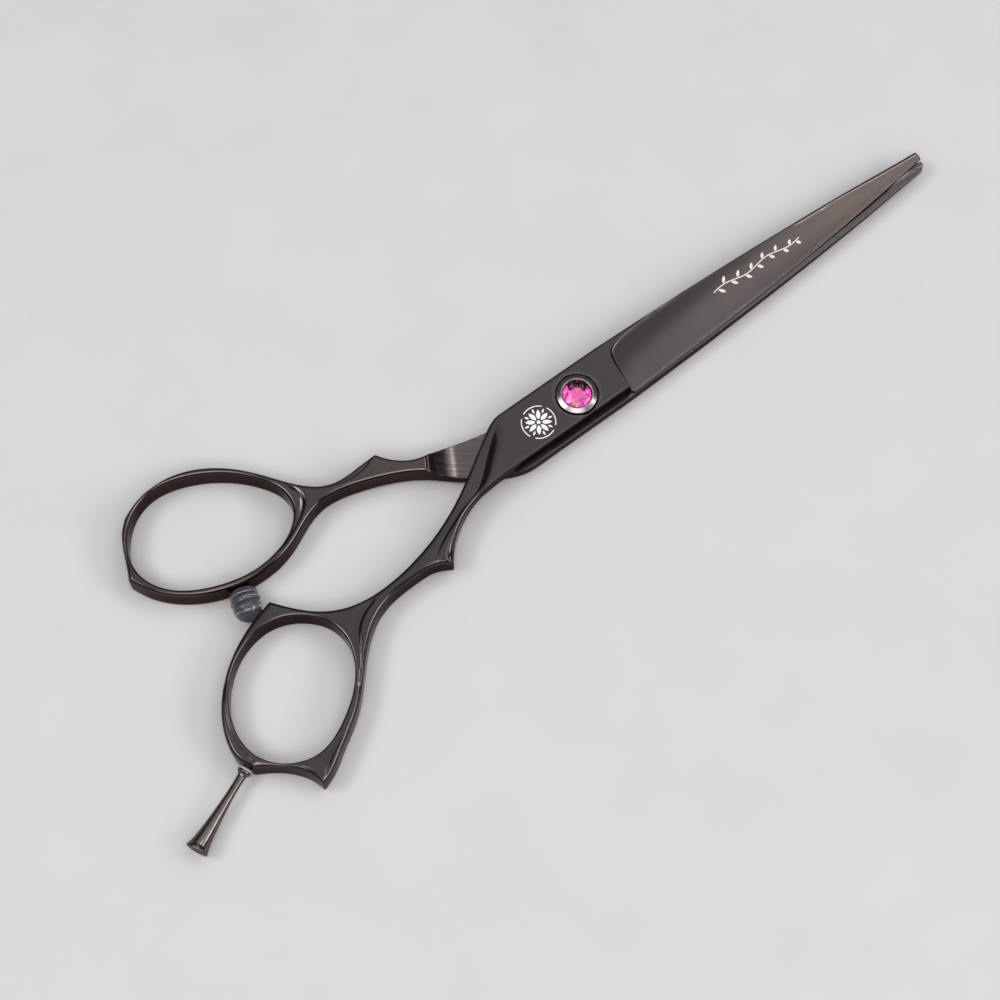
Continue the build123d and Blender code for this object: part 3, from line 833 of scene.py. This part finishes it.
def crease_shape(pts):
    """Height below the ride level along the crease: the handle's flat stays low, the ride and bar roll up from it."""
    d, q, side, par = nearest(CREASE, pts, closed=False)
    s = par * 0.15
    tot = (len(CREASE) - 1) * 0.15
    A = 0.56 * smooth01(s, 0.0, 6.5) * (1 - 0.45 * smooth01(s, 11.0, 16.0)) * (1 - smooth01(s, tot - 8.0, tot))
    w = np.interp(s, [0, 9, 14, 19, tot], [2.4, 2.2, 1.0, 0.6, 0.6])
    t = np.clip(d / w, 0, 1)
    roll = -A * (1 - t) ** 2 - 0.42 * smooth01(s, 11, 16) * (1 - 0.7 * smooth01(s, tot - 6, tot)) * np.clip((d - w) / 1.3, 0, 1.2) ** 2
    flat = -A - 0.05 * np.minimum(d, 3.0) * (A / 0.56)
    k = smooth01(d, 0.0, 0.10)
    mid = -A
    # CREASE runs from the ride to the spur: the ride and the bar lie on its left
    return np.where(side > 0, mid * (1 - k) + roll * k, flat)


def fold_rows(line, offs, spaced=False):
    L = line if spaced else cubic(line, 0.15)
    T = np.gradient(L, axis=0)
    T /= np.hypot(*T.T)[:, None]
    N = np.c_[-T[:, 1], T[:, 0]]
    return [(L + N * o)[::2] for o in offs]


OFFS = (-0.9, -0.62, -0.42, -0.27, -0.15, -0.06, 0.0, 0.06, 0.15, 0.27, 0.42, 0.62, 0.9)
FH_PROFILE = np.array([(-95, 5.6), (-56, 5.6), (-48, 5.74), (-40, 5.98), (-34, 6.16), (-28, 6.32), (-22, 6.40), (80, 6.40)])
FH_UNDER = np.array([(-95, 0.0), (-56, 0.0), (-46, 0.35), (-36, 1.05), (-29, 1.9), (-26.2, 2.7), (-24.6, 3.6), (80, 3.6)])


def crown(pts, outer, hole, keep):
    """Rounding of the ring bands: a broad fall to the outside and a smaller one to the hole."""
    do = nearest(outer, pts)[0]
    di = nearest(hole, pts)[0]
    return -keep * (0.26 * (1 - np.clip(do / 1.55, 0, 1)) ** 2 + 0.12 * (1 - np.clip(di / 0.95, 0, 1)) ** 2)


def soft_interp(x, T, k=1.6):
    return (np.interp(x - k, T[:, 0], T[:, 1]) + 2 * np.interp(x, T[:, 0], T[:, 1]) + np.interp(x + k, T[:, 0], T[:, 1])) / 4


def fh_top(x, y):
    pts = np.c_[x, y]
    oh, q = outer_height(x, y)
    z = FI + oh
    m = x < -10.0
    if m.any():
        p = pts[m]
        xx = x[m]
        base = soft_interp(xx, FH_PROFILE)
        z[m] = base + crease_shape(p) + sum(groove(p, *f) for f in FH_FOLDS)
        z[m] += crown(p, fh_outer[::3], fh_hole[::2], 1 - smooth01(xx, -40.0, -27.0))
    return z


def fh_bottom(x, y):
    z = soft_interp(x, FH_UNDER, 0.8)
    return z + np.where(x > 8.0, inner_hollow(x, y), 0.0)


def fh_bevel_top(q):
    x, y = q[:, 0], q[:, 1]
    w = np.full(len(q), 0.58)
    h = np.full(len(q), 0.58)
    mid = (np.interp(x, SPINE[:, 0], SPINE[:, 1]) + np.interp(x, EDGE[:, 0], EDGE[:, 1])) / 2
    k = smooth01(x, 8.0, 10.0)
    edge_side = (y < mid)
    we = w * (1 - k) + 0.08 * k
    he = h * (1 - k) + 0.05 * k
    taper = np.clip(1 - (x - 20) / 60.0, 0.35, 1)
    ws = w * (1 - k) + np.where(x > 45, 0.50 * taper + 0.20 * smooth01(x, 50, 70), 0.50 * taper) * k
    hs = h * (1 - k) + 0.50 * taper * (1 - 0.30 * smooth01(x, 50, 70)) * k
    w = np.where(edge_side, we, ws)
    h = np.where(edge_side, he, hs)
    # ring holes are crisper than the outside, and the pivot recess is sharp
    inner = nearest(fh_hole, q)[0] < 0.05
    w = np.where(inner, 0.36, w)
    h = np.where(inner, 0.36, h)
    w = np.where(np.hypot(x, y) < 4.2, 0.10, w)
    h = np.where(np.hypot(x, y) < 4.2, 0.10, h)
    # south ride edge is crisper
    sr = (y < -3.6) & (x > -22) & (x < 8.0)
    w = np.where(sr, 0.30, w)
    h = np.where(sr, 0.30, h)
    return w, h


def fh_bevel_bot(q):
    x, y = q[:, 0], q[:, 1]
    k = smooth01(x, -27.0, -24.0)
    w = 0.58 * (1 - k) + 0.05 * k
    h = 0.58 * (1 - k) + 0.04 * k
    return w, h


def plunge_rows():
    T = np.gradient(PLUNGE, axis=0)
    T /= np.hypot(*T.T)[:, None]
    N = np.c_[T[:, 1], -T[:, 0]]
    out = []
    P = PLUNGE
    for off in (-0.12, 0.0, 0.02, 0.06, 0.12, 0.20, 0.30, 0.40, 0.50, 0.62):
        out.append((P + N * off)[::2])
    return out


def fh_slot(C, side):
    if side > 0:
        return np.zeros(len(C), int)
    return np.where(C[:, 0] > -24.0, 1, 0)


fh_lines = plunge_rows() + fold_rows(CREASE, OFFS, True)
for f in FH_FOLDS:
    fh_lines += fold_rows(f[0], OFFS[1:-1])
finger = build_half("finger_half_shell", fh_outer, [fh_hole, circle(3.78, 96)], fh_top, fh_bottom, fh_bevel_top,
                    fh_bevel_bot, fh_lines, fh_slot)
finger.data.materials.append(MAT["steel"])
finger.data.materials.append(MAT["inner"])
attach(finger, "finger_side")
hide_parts("finger_half")

# =====================================================================
# thumb half
# =====================================================================
th_north = cubic(TH_NORTH)
th_ringA = cubic(TH_RING_A)
th_ringB = cubic(TH_RING_B)
th_south = cubic(TH_SOUTH)
th_outer = join(th_north, th_ringA, th_ringB, th_south,
                spine_line[spine_line[:, 0] < 75.7] * [1, -1], tip_low[::-1] * [1, -1], edge_line[::-1] * [1, -1],
                [(8.9, 4.92), (8.30, 4.2), (-5.0, 4.2), (-12.0, 4.2)])
th_outer = soften(resample(th_outer, 0.06), 5)
th_hole = cubic(TH_HOLE, 0.15, closed=True)[:-1]
A_STEP = math.radians(-29.7)
TH_PROFILE = np.array([(-105, 5.6), (-55, 5.6), (-48, 5.72), (-38, 6.0), (-27, 6.22), (80, 6.22)])
TH_UNDER = np.array([(-105, 0.0), (-58, 0.0), (-48, 0.25), (-38, 0.8), (-30, 0.95), (-22, 0.70), (80, 0.70)])


def along(x, y):
    return x * math.cos(A_STEP) + y * math.sin(A_STEP)


def th_top(x, y):
    u = along(x, y)
    hi = soft_interp(u, TH_PROFILE)
    pts = np.c_[x, y]
    m = u < -26.0
    if m.any():
        p = pts[m]
        hi[m] = hi[m] + sum(groove(p, *f) for f in TH_FOLDS)
        hi[m] += crown(p, th_outer[::3], th_hole[::2], 1 - smooth01(u[m], -44.0, -32.0))
    # long cove from the ride plane up to the handle, with a bullnose at its head
    t = np.clip((-20.6 - u) / 6.3, 0, 1) * 6.3
    cove = (8.656 - np.sqrt(8.656 ** 2 - t ** 2)) / 2.72
    lo = TI + (hi - TI) * cove
    r = np.clip((-26.9 - u) / 0.58, 0, 1)
    edge = hi - 0.30 * (1 - np.sqrt(np.clip(1 - (1 - r) ** 2, 0, 1)))
    z = np.where(u < -26.9, edge, np.minimum(lo, hi - 0.30))
    return z - np.where(x > 8.0, inner_hollow(x, -y), 0.0)


def th_bottom(x, y):
    oh, q = outer_height(x, -y)
    z = TI - oh
    m = x < -10.0
    z[m] = soft_interp(along(x[m], y[m]), TH_UNDER)
    return z


def th_bevel_top(q):
    x, y = q[:, 0], q[:, 1]
    k = smooth01(along(x, y), -27.6, -26.2)
    w = 0.58 * (1 - k) + 0.06 * k
    h = 0.58 * (1 - k) + 0.05 * k
    return w, h


def th_bevel_bot(q):
    qq = q * [1, -1]
    w, h = fh_bevel_top(qq)
    r = np.hypot(q[:, 0], q[:, 1])
    w = np.where(r < 4.9, 0.10, w)
    h = np.where(r < 4.9, 0.10, h)
    return w, h


def step_points():
    # along() is u = x cos a + y sin a, so x = u cos a - v sin a and y = u sin a + v cos a
    c, s = math.cos(A_STEP), math.sin(A_STEP)
    out = []
    for u in (-20.6, -21.0, -21.5, -22.0, -22.4, -22.8, -23.2, -23.6, -23.95, -24.3, -24.6, -24.9, -25.2, -25.5, -25.75, -26.0, -26.2, -26.4, -26.55,
              -26.68, -26.78, -26.85, -26.9, -26.93, -26.97, -27.03, -27.1, -27.18, -27.27, -27.4):
        v = np.arange(-20.0, 20.0, 0.22)
        out.append(np.c_[u * c - v * s, u * s + v * c])
    return out


def th_slot(C, side):
    if side > 0:
        u = along(C[:, 0], C[:, 1])
        return np.where(u > -25.6, np.where(C[:, 0] > -9.0, 2, 1), 0)
    return np.zeros(len(C), int)


th_lines = [R * [1, -1] for R in plunge_rows()] + step_points()
for f in TH_FOLDS:
    th_lines += fold_rows(f[0], OFFS[1:-1])
thumb = build_half("thumb_half_shell", th_outer, [th_hole, circle(2.60, 72)], th_top, th_bottom, th_bevel_top,
                   th_bevel_bot, th_lines, th_slot)
for k in ("steel", "ride", "inner"):
    thumb.data.materials.append(MAT[k])
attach(thumb, "thumb_side")
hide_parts("thumb_half")

# =====================================================================
# turned and moulded pieces
# =====================================================================
def lathe(name, profile, base, direction, material, n=96, fillet=0.05, smooth=False, waves=None):
    """Turns an (r, s) profile in mm about an axis. Corners get small fillets; smooth profiles are splined."""
    P = np.array(profile, float)
    pts, nrm = [], []
    if smooth:
        P = cubic([tuple(p) for p in P], smooth)
        P[:, 0] = np.maximum(P[:, 0], 0.0)
        P[0, 0] = profile[0][0]
        P[-1, 0] = profile[-1][0]
        T = np.gradient(P, axis=0)
        T /= np.hypot(*T.T)[:, None]
        pts = P
        nrm = np.c_[T[:, 1], -T[:, 0]]
    else:
        D = np.diff(P, axis=0)
        L = np.hypot(*D.T)
        D = D / L[:, None]
        for i in range(len(P)):
            n_in = np.array([D[i - 1, 1], -D[i - 1, 0]]) if i > 0 else None
            n_out = np.array([D[i, 1], -D[i, 0]]) if i < len(P) - 1 else None
            if i == 0:
                pts.append(P[i]); nrm.append(n_out)
                continue
            if i == len(P) - 1:
                pts.append(P[i]); nrm.append(n_in)
                continue
            turn = math.acos(max(-1.0, min(1.0, float(D[i - 1] @ D[i]))))
            if turn < 0.02:
                pts.append(P[i]); nrm.append((n_in + n_out) / 2)
                continue
            r = min(fillet, 0.42 * L[i - 1] / math.tan(turn / 2), 0.42 * L[i] / math.tan(turn / 2))
            t = r * math.tan(turn / 2)
            p0, p1 = P[i] - D[i - 1] * t, P[i] + D[i] * t
            k = 5
            a0 = math.atan2(n_in[1], n_in[0])
            cr = D[i - 1, 0] * D[i, 1] - D[i - 1, 1] * D[i, 0]
            sgn = 1.0 if cr > 0 else -1.0
            c = p0 - n_in * r * sgn
            for j in range(k + 1):
                a = a0 + sgn * turn * j / k
                u = np.array([math.cos(a), math.sin(a)])
                pts.append(c + u * r * sgn)
                nrm.append(u)
        pts, nrm = np.array(pts), np.array(nrm)
    d = Vector(direction).normalized()
    e1 = d.orthogonal().normalized()
    if abs(d.z) > 0.99:
        e1 = Vector((1, 0, 0))
    e2 = d.cross(e1)
    base, d, e1, e2 = (np.array(v, float) for v in (base, d, e1, e2))
    ang = np.linspace(0, 2 * np.pi, n, endpoint=False)
    V, N, F = [], [], []
    rows = []
    for (r, h), (nr, nh) in zip(pts, nrm):
        if r < 1e-4:
            rows.append([len(V)])
            V.append(base + d * h)
            N.append(d * (1 if nh > 0 else -1))
        else:
            rows.append(list(range(len(V), len(V) + n)))
            for a in ang:
                u = e1 * math.cos(a) + e2 * math.sin(a)
                rr = r
                if waves is not None:
                    rr = r + waves(a, h)
                V.append(base + d * h + u * rr)
                N.append(u * nr + d * nh)
    for r0, r1 in zip(rows, rows[1:]):
        for j in range(n):
            k = (j + 1) % n
            if len(r0) == 1 and len(r1) == 1:
                break
            if len(r0) == 1:
                F.append((r0[0], r1[k], r1[j]))
            elif len(r1) == 1:
                F.append((r0[j], r0[k], r1[0]))
            else:
                F.append((r0[j], r0[k], r1[k], r1[j]))
    me = bpy.data.meshes.new(name)
    me.from_pydata([tuple(np.array(v) * MM) for v in V], [], F)
    me.update()
    for p in me.polygons:
        p.use_smooth = True
    if waves is None:
        me.normals_split_custom_set_from_vertices([Vector(v).normalized() for v in N])
    ob = bpy.data.objects.new(name, me)
    scene.collection.objects.link(ob)
    me.materials.append(material)
    return ob


# pivot screw: shank, journal and the dished head around the stone
screw = lathe("pivot_screw_turned", [(0, 0.55), (1.5, 0.55), (1.75, 0.8), (1.75, 1.75), (1.96, 2.0), (1.96, 5.10),
                                     (3.62, 5.10), (3.62, 6.40), (3.50, 6.60), (2.80, 6.92), (2.60, 6.92), (2.58, 6.62), (1.66, 5.54),
                                     (0, 5.54)], (0, 0, 0), (0, 0, 1), MAT["head"], 144, 0.07)
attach(screw, "finger_side")
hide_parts("pivot_screw")


def ring_pts(r, z, n, turn=0.0):
    return [(r * math.cos(2 * math.pi * (i + turn) / n), r * math.sin(2 * math.pi * (i + turn) / n), z) for i in range(n)]


def crystal():
    """Round cut: eight-sided table, star, kite and girdle facets over a foiled pavilion of sixteen."""
    V, F, M = [], [], []

    def add(ps):
        i = len(V)
        V.extend(ps)
        return list(range(i, i + len(ps)))
    table = add(ring_pts(1.36, 7.335, 8))
    mid = add(ring_pts(1.92, 7.15, 8, 0.5))
    top = add(ring_pts(2.47, 6.83, 16))
    low = add(ring_pts(2.46, 6.74, 16))
    keel = add(ring_pts(1.30, 5.75, 8, 0.5))
    tip = add([(0, 0, 5.66)])[0]
    F.append(tuple(table)); M.append(0)
    for i in range(8):
        j = (i + 1) % 8
        F.append((table[i], mid[i], table[j])); M.append(0)                               # star
        F.append((table[i], mid[i - 1], top[2 * i], mid[i])); M.append(0)                   # kite
        F.append((mid[i], top[2 * i], top[2 * i + 1])); M.append(0)                        # girdle pair
        F.append((mid[i], top[2 * i + 1], top[(2 * i + 2) % 16])); M.append(0)
    for i in range(16):
        j = (i + 1) % 16
        F.append((top[i], low[i], low[j], top[j])); M.append(0)
    for i in range(8):
        a, b, c = low[2 * i], low[2 * i + 1], low[(2 * i + 2) % 16]
        F.append((a, keel[i], b)); M.append(1)
        F.append((b, keel[i], c)); M.append(1)
        F.append((c, keel[i], keel[(i + 1) % 8])); M.append(1)
        F.append((keel[i], tip, keel[(i + 1) % 8])); M.append(1)
    bm = bmesh.new()
    vs = [bm.verts.new([c * MM for c in v]) for v in V]
    for f, m in zip(F, M):
        try:
            fc = bm.faces.new([vs[i] for i in f])
            fc.material_index = m
        except ValueError:
            pass
    bmesh.ops.recalc_face_normals(bm, faces=bm.faces)
    me = bpy.data.meshes.new("stone_cut")
    bm.to_mesh(me)
    bm.free()
    ob = bpy.data.objects.new("stone_cut", me)
    scene.collection.objects.link(ob)
    ob.rotation_euler.z = 0.13
    me.transform(Matrix.Rotation(0.13, 4, "Z"))
    ob.rotation_euler.z = 0.0
    me.materials.append(MAT["stone"])
    me.materials.append(MAT["foil"])
    return ob


stone = crystal()
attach(stone, "finger_side")
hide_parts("stone")

# bumper: ribbed, rounded clear plug pressed into the thumb ring
d = math.hypot(0.28, 0.96)
bumper = lathe("bumper_plug", [(0, -0.95), (0.45, -0.95), (0.64, -0.78), (0.68, -0.3), (0.70, 0.25), (1.40, 0.34), (2.05, 0.60), (2.40, 0.98),
                               (2.52, 1.36), (2.40, 1.66), (2.12, 1.86), (2.40, 2.08), (2.62, 2.40), (2.66, 2.74), (2.52, 3.02), (2.26, 3.22),
                               (2.48, 3.44), (2.58, 3.72), (2.52, 4.14), (2.34, 4.66), (2.04, 5.20), (1.56, 5.72), (0.94, 6.12), (0.46, 6.27), (0, 6.32)],
               (-65.85, 6.90, 2.80), (-0.28 / d, -0.96 / d, 0), MAT["clear"], 96, smooth=0.05)
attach(bumper, "thumb_side")
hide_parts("bumper")

# finger rest: collar, waist and flared trumpet end with a softened rim
rest = lathe("finger_rest_turned", [(0, -1.7), (0.50, -1.7), (0.66, -1.5), (0.68, 0.30), (1.10, 0.30), (1.20, 0.40), (1.20, 0.70), (1.08, 0.84),
                                    (0.84, 1.00), (0.74, 1.40), (0.68, 3.0), (0.73, 5.0), (0.85, 7.0), (1.00, 9.0), (1.16, 10.8), (1.32, 12.3),
                                    (1.50, 13.7), (1.69, 14.68), (1.89, 15.18), (1.97, 15.40), (1.95, 15.60), (1.80, 15.70), (1.30, 15.70),
                                    (1.0, 15.62), (0, 15.55)],
             (-83.05, -19.31, 2.80), (-0.9135, -0.4069, 0), MAT["rest"], 96, 0.25)
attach(rest, "finger_side")
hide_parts("finger_rest")


# =====================================================================
# laser marks: a leaf sprig on the blade, a rosette on the ride
# =====================================================================
def plates(name, shapes, surface, material, lift=0.014, sink=0.05, grid=0.16):
    """Thin closed plates that follow a surface."""
    V, F = [], []
    for S in shapes:
        S = np.array(S, float)
        if area(S) < 0:
            S = S[::-1]
        n = len(S)
        lo, hi = S.min(0), S.max(0)
        G = np.array([(x, y) for x in np.arange(lo[0] + grid / 2, hi[0], grid) for y in np.arange(lo[1] + grid / 2, hi[1], grid)]).reshape(-1, 2)
        if len(G):
            G = G[contains(S, G)]
        if len(G):
            dd, _, _, _ = nearest(S, G)
            G = G[dd > grid * 0.35]
        P = np.vstack([S, G]) if len(G) else S
        res = delaunay_2d_cdt([Vector(p) for p in P], [(i, (i + 1) % n) for i in range(n)], [], 1, 1e-7)
        Q = np.array([tuple(v) for v in res[0]])
        T = [tuple(f) for f in res[2]]
        z = surface(Q[:, 0], Q[:, 1])
        back = {}
        for i, o in enumerate(res[3]):
            for k in o:
                back[k] = i
        i0 = len(V)
        m = len(Q)
        V += [(x * MM, y * MM, (h + lift) * MM) for (x, y), h in zip(Q, z)]
        V += [(x * MM, y * MM, (h - sink) * MM) for (x, y), h in zip(Q, z)]
        for t in T:
            a, b, c = Q[t[0]], Q[t[1]], Q[t[2]]
            if (b[0] - a[0]) * (c[1] - a[1]) - (b[1] - a[1]) * (c[0] - a[0]) < 0:
                t = t[::-1]
            F.append(tuple(i0 + k for k in t))
            F.append(tuple(i0 + m + k for k in t[::-1]))
        for i in range(n):
            a, b = back[i], back[(i + 1) % n]
            F.append((i0 + b, i0 + a, i0 + m + a, i0 + m + b))
    me = bpy.data.meshes.new(name)
    me.from_pydata(V, [], F)
    me.update()
    ob = bpy.data.objects.new(name, me)
    scene.collection.objects.link(ob)
    me.materials.append(material)
    return ob


def leaf(cx, cy, ang, length, width, n=12):
    t = np.linspace(0, 1, n)
    w = width * np.sin(np.pi * t) ** 0.8 * (1 - 0.25 * t) / 2
    x = np.r_[t, t[::-1][1:-1]] * length
    y = np.r_[w, -w[::-1][1:-1]]
    c, s = math.cos(ang), math.sin(ang)
    return np.c_[cx + x * c - y * s, cy + x * s + y * c]


def ring_band(cx, cy, r0, r1, a0, a1, n):
    a = np.linspace(a0, a1, n)
    return np.vstack([np.c_[cx + r1 * np.cos(a), cy + r1 * np.sin(a)], np.c_[cx + r0 * np.cos(a[::-1]), cy + r0 * np.sin(a[::-1])]])


sprig = []
x0, x1, ym = 30.8, 49.6, 1.22
t = np.linspace(x0, x1, 90)
mid = ym + 0.32 * np.sin((t - x0) / (x1 - x0) * 4 * np.pi) - 0.02 * (t - x0)
half = 0.085 * np.ones(len(t))
half[0] = half[-1] = 0.03
sprig.append(np.vstack([np.c_[t, mid - half], np.c_[t, mid + half][::-1]]))
for i in range(13):
    tx = x0 + 1.0 + i * (x1 - x0 - 2.0) / 12
    ty = np.interp(tx, t, mid)
    side = 1 if i % 2 else -1
    sprig.append(leaf(tx + 0.05, ty + side * 0.16, side * 0.82, 1.42 - 0.04 * i, 0.62))
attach(plates("blade_sprig", sprig, fh_top, MAT["etch_rose"]), "finger_side")

cx, cy = -8.35, -0.15
rosette = []
for i in range(8):
    a = math.pi / 4 * i + 0.2
    rosette.append(leaf(cx + 0.55 * math.cos(a), cy + 0.55 * math.sin(a), a, 1.75, 0.86, 14))
    b = a + math.pi / 8
    rosette.append(leaf(cx + 1.75 * math.cos(b), cy + 1.75 * math.sin(b), b, 0.85, 0.42, 10))
rosette.append(ring_band(cx, cy, 0.0, 0.34, 0, 2 * math.pi, 25)[:24])
for i in range(4):
    a = math.pi / 2 * i + 0.2 + math.pi / 8
    rosette.append(ring_band(cx, cy, 2.86, 3.04, a + 0.16, a + math.pi / 2 - 0.16, 22))
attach(plates("ride_rosette", rosette, fh_top, MAT["etch_white"]), "finger_side")


# =====================================================================
# CAD nodes that stay
# =====================================================================
def dress(node_name, material):
    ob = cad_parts[node_name]
    if not ob.material_slots:
        ob.data.materials.append(material)
    for s in ob.material_slots:
        s.material = material


dress("head_washer", MAT["nylon"])
dress("stone_foil", MAT["foil"])
dress("pivot_bushing", MAT["brass"])
dress("spring_washer", MAT["spring"])
dress("tension_nut", MAT["nut"])
dress("rest_washer", MAT["nylon"])


# =====================================================================
# floor and lights
# =====================================================================
def floor_material():
    m, nt, b = new_material("floor")
    n = noise(nt, coords(nt), 60.0, 3.0, 0.5)
    col = ramp(nt, n, [(0.3, (0.62, 0.62, 0.63)), (0.7, (0.645, 0.645, 0.655))])
    nt.links.new(col.outputs["Color"], b.inputs["Base Color"])
    b.inputs["Roughness"].default_value = 0.6
    return m


bm = bmesh.new()
bmesh.ops.create_grid(bm, x_segments=8, y_segments=8, size=3.0)
me = bpy.data.meshes.new("floor")
bm.to_mesh(me)
bm.free()
floor = bpy.data.objects.new("floor", me)
floor.location.z = -0.00005
scene.collection.objects.link(floor)
me.materials.append(floor_material())


def area_light(name, centre, axis_u, axis_v, size_u, size_v, power, color=(1, 1, 1), ramp_u=None, ramp_v=None):
    """A soft panel. It shines along axis_u x axis_v turned over; ramps shape its brightness across u and v."""
    u = Vector(axis_u).normalized()
    w = u.cross(Vector(axis_v)).normalized()
    v = w.cross(u)
    d = bpy.data.lights.new(name, "AREA")
    d.shape = "RECTANGLE"
    d.size, d.size_y = size_u, size_v
    d.energy = power
    d.color = color
    o = bpy.data.objects.new(name, d)
    c = Vector(centre)
    o.matrix_world = Matrix(((u.x, v.x, w.x, c.x), (u.y, v.y, w.y, c.y), (u.z, v.z, w.z, c.z), (0, 0, 0, 1)))
    scene.collection.objects.link(o)
    if ramp_u or ramp_v:
        d.use_nodes = True
        nt = d.node_tree
        em = nt.nodes["Emission"]
        g = nt.nodes.new("ShaderNodeNewGeometry")
        sp = nt.nodes.new("ShaderNodeSeparateXYZ")
        nt.links.new(g.outputs["Parametric"], sp.inputs[0])
        out = None
        for axis, stops in ((0, ramp_u), (1, ramp_v)):
            if not stops:
                continue
            r = ramp(nt, sp.outputs[axis], [(p, (x, x, x)) for p, x in stops], "EASE")
            out = r.outputs["Color"] if out is None else math_node(nt, "MULTIPLY", out, r.outputs["Color"])
        nt.links.new(out, em.inputs["Strength"])
    return o


E_R = Vector((math.cos(AZ), math.sin(AZ), 0.0))          # picture right
E_H = Vector((-math.sin(AZ), math.cos(AZ), 0.0))         # away from the camera


def softbox(name, direction, distance, size_u, size_v, radiance, color=(1, 1, 1), ramp_u=None, ramp_v=None):
    """direction in (right, away, up) of the picture; u runs across, v along."""
    c = (E_R * direction[0] + E_H * direction[1] + Vector((0, 0, direction[2]))).normalized() * distance
    w = c.normalized()
    u = (E_R - w * E_R.dot(w)).normalized()
    v = w.cross(u)
    return area_light(name, c, u, v, size_u, size_v, radiance * math.pi * size_u * size_v, color, ramp_u, ramp_v)


SOFT = [(0.0, 0.0), (0.22, 0.75), (0.5, 1.0), (0.78, 0.75), (1.0, 0.0)]
softbox("softbox_top", (0.0, 0.36, 1.0), 1.25, 1.45, 1.7, 0.90, (0.985, 0.98, 1.0),
        [(0.0, 0.0), (0.2, 0.7), (0.5, 1.0), (0.8, 0.8), (1.0, 0.3)],
        [(0.0, 0.3), (0.25, 0.9), (0.6, 1.0), (0.85, 0.7), (1.0, 0.0)])
softbox("softbox_right", (0.49, 0.10, 0.85), 1.15, 0.40, 1.20, 1.9, (1.0, 0.965, 0.93), SOFT, SOFT)
softbox("softbox_edge", (0.80, -0.22, 0.60), 1.15, 0.40, 1.0, 8.0, (1.0, 0.975, 0.96), SOFT, SOFT)
softbox("softbox_left", (-0.58, -0.10, 0.81), 1.15, 0.46, 0.80, 8.0, (1.0, 0.985, 0.98), SOFT, SOFT)
softbox("softbox_front", (0.0, -0.52, 0.82), 1.15, 1.20, 0.50, 4.6, (1.0, 0.97, 0.95), SOFT, SOFT)
softbox("softbox_near", (-0.08, -0.17, 0.98), 1.15, 0.42, 0.30, 5.5, (1.0, 0.96, 0.93), SOFT, SOFT)
softbox("lamp_strip", (0.36, 0.34, 0.87), 1.15, 0.10, 0.42, 11.0, (1.0, 0.95, 0.90), SOFT, SOFT)
world = bpy.data.worlds.new("world")
scene.world = world
world.use_nodes = True
wn = world.node_tree
wn.nodes.clear()
wo = wn.nodes.new("ShaderNodeOutputWorld")
bg = wn.nodes.new("ShaderNodeBackground")
bg.inputs["Color"].default_value = (0.80, 0.82, 0.86, 1)
bg.inputs["Strength"].default_value = 0.16
wn.links.new(bg.outputs[0], wo.inputs["Surface"])
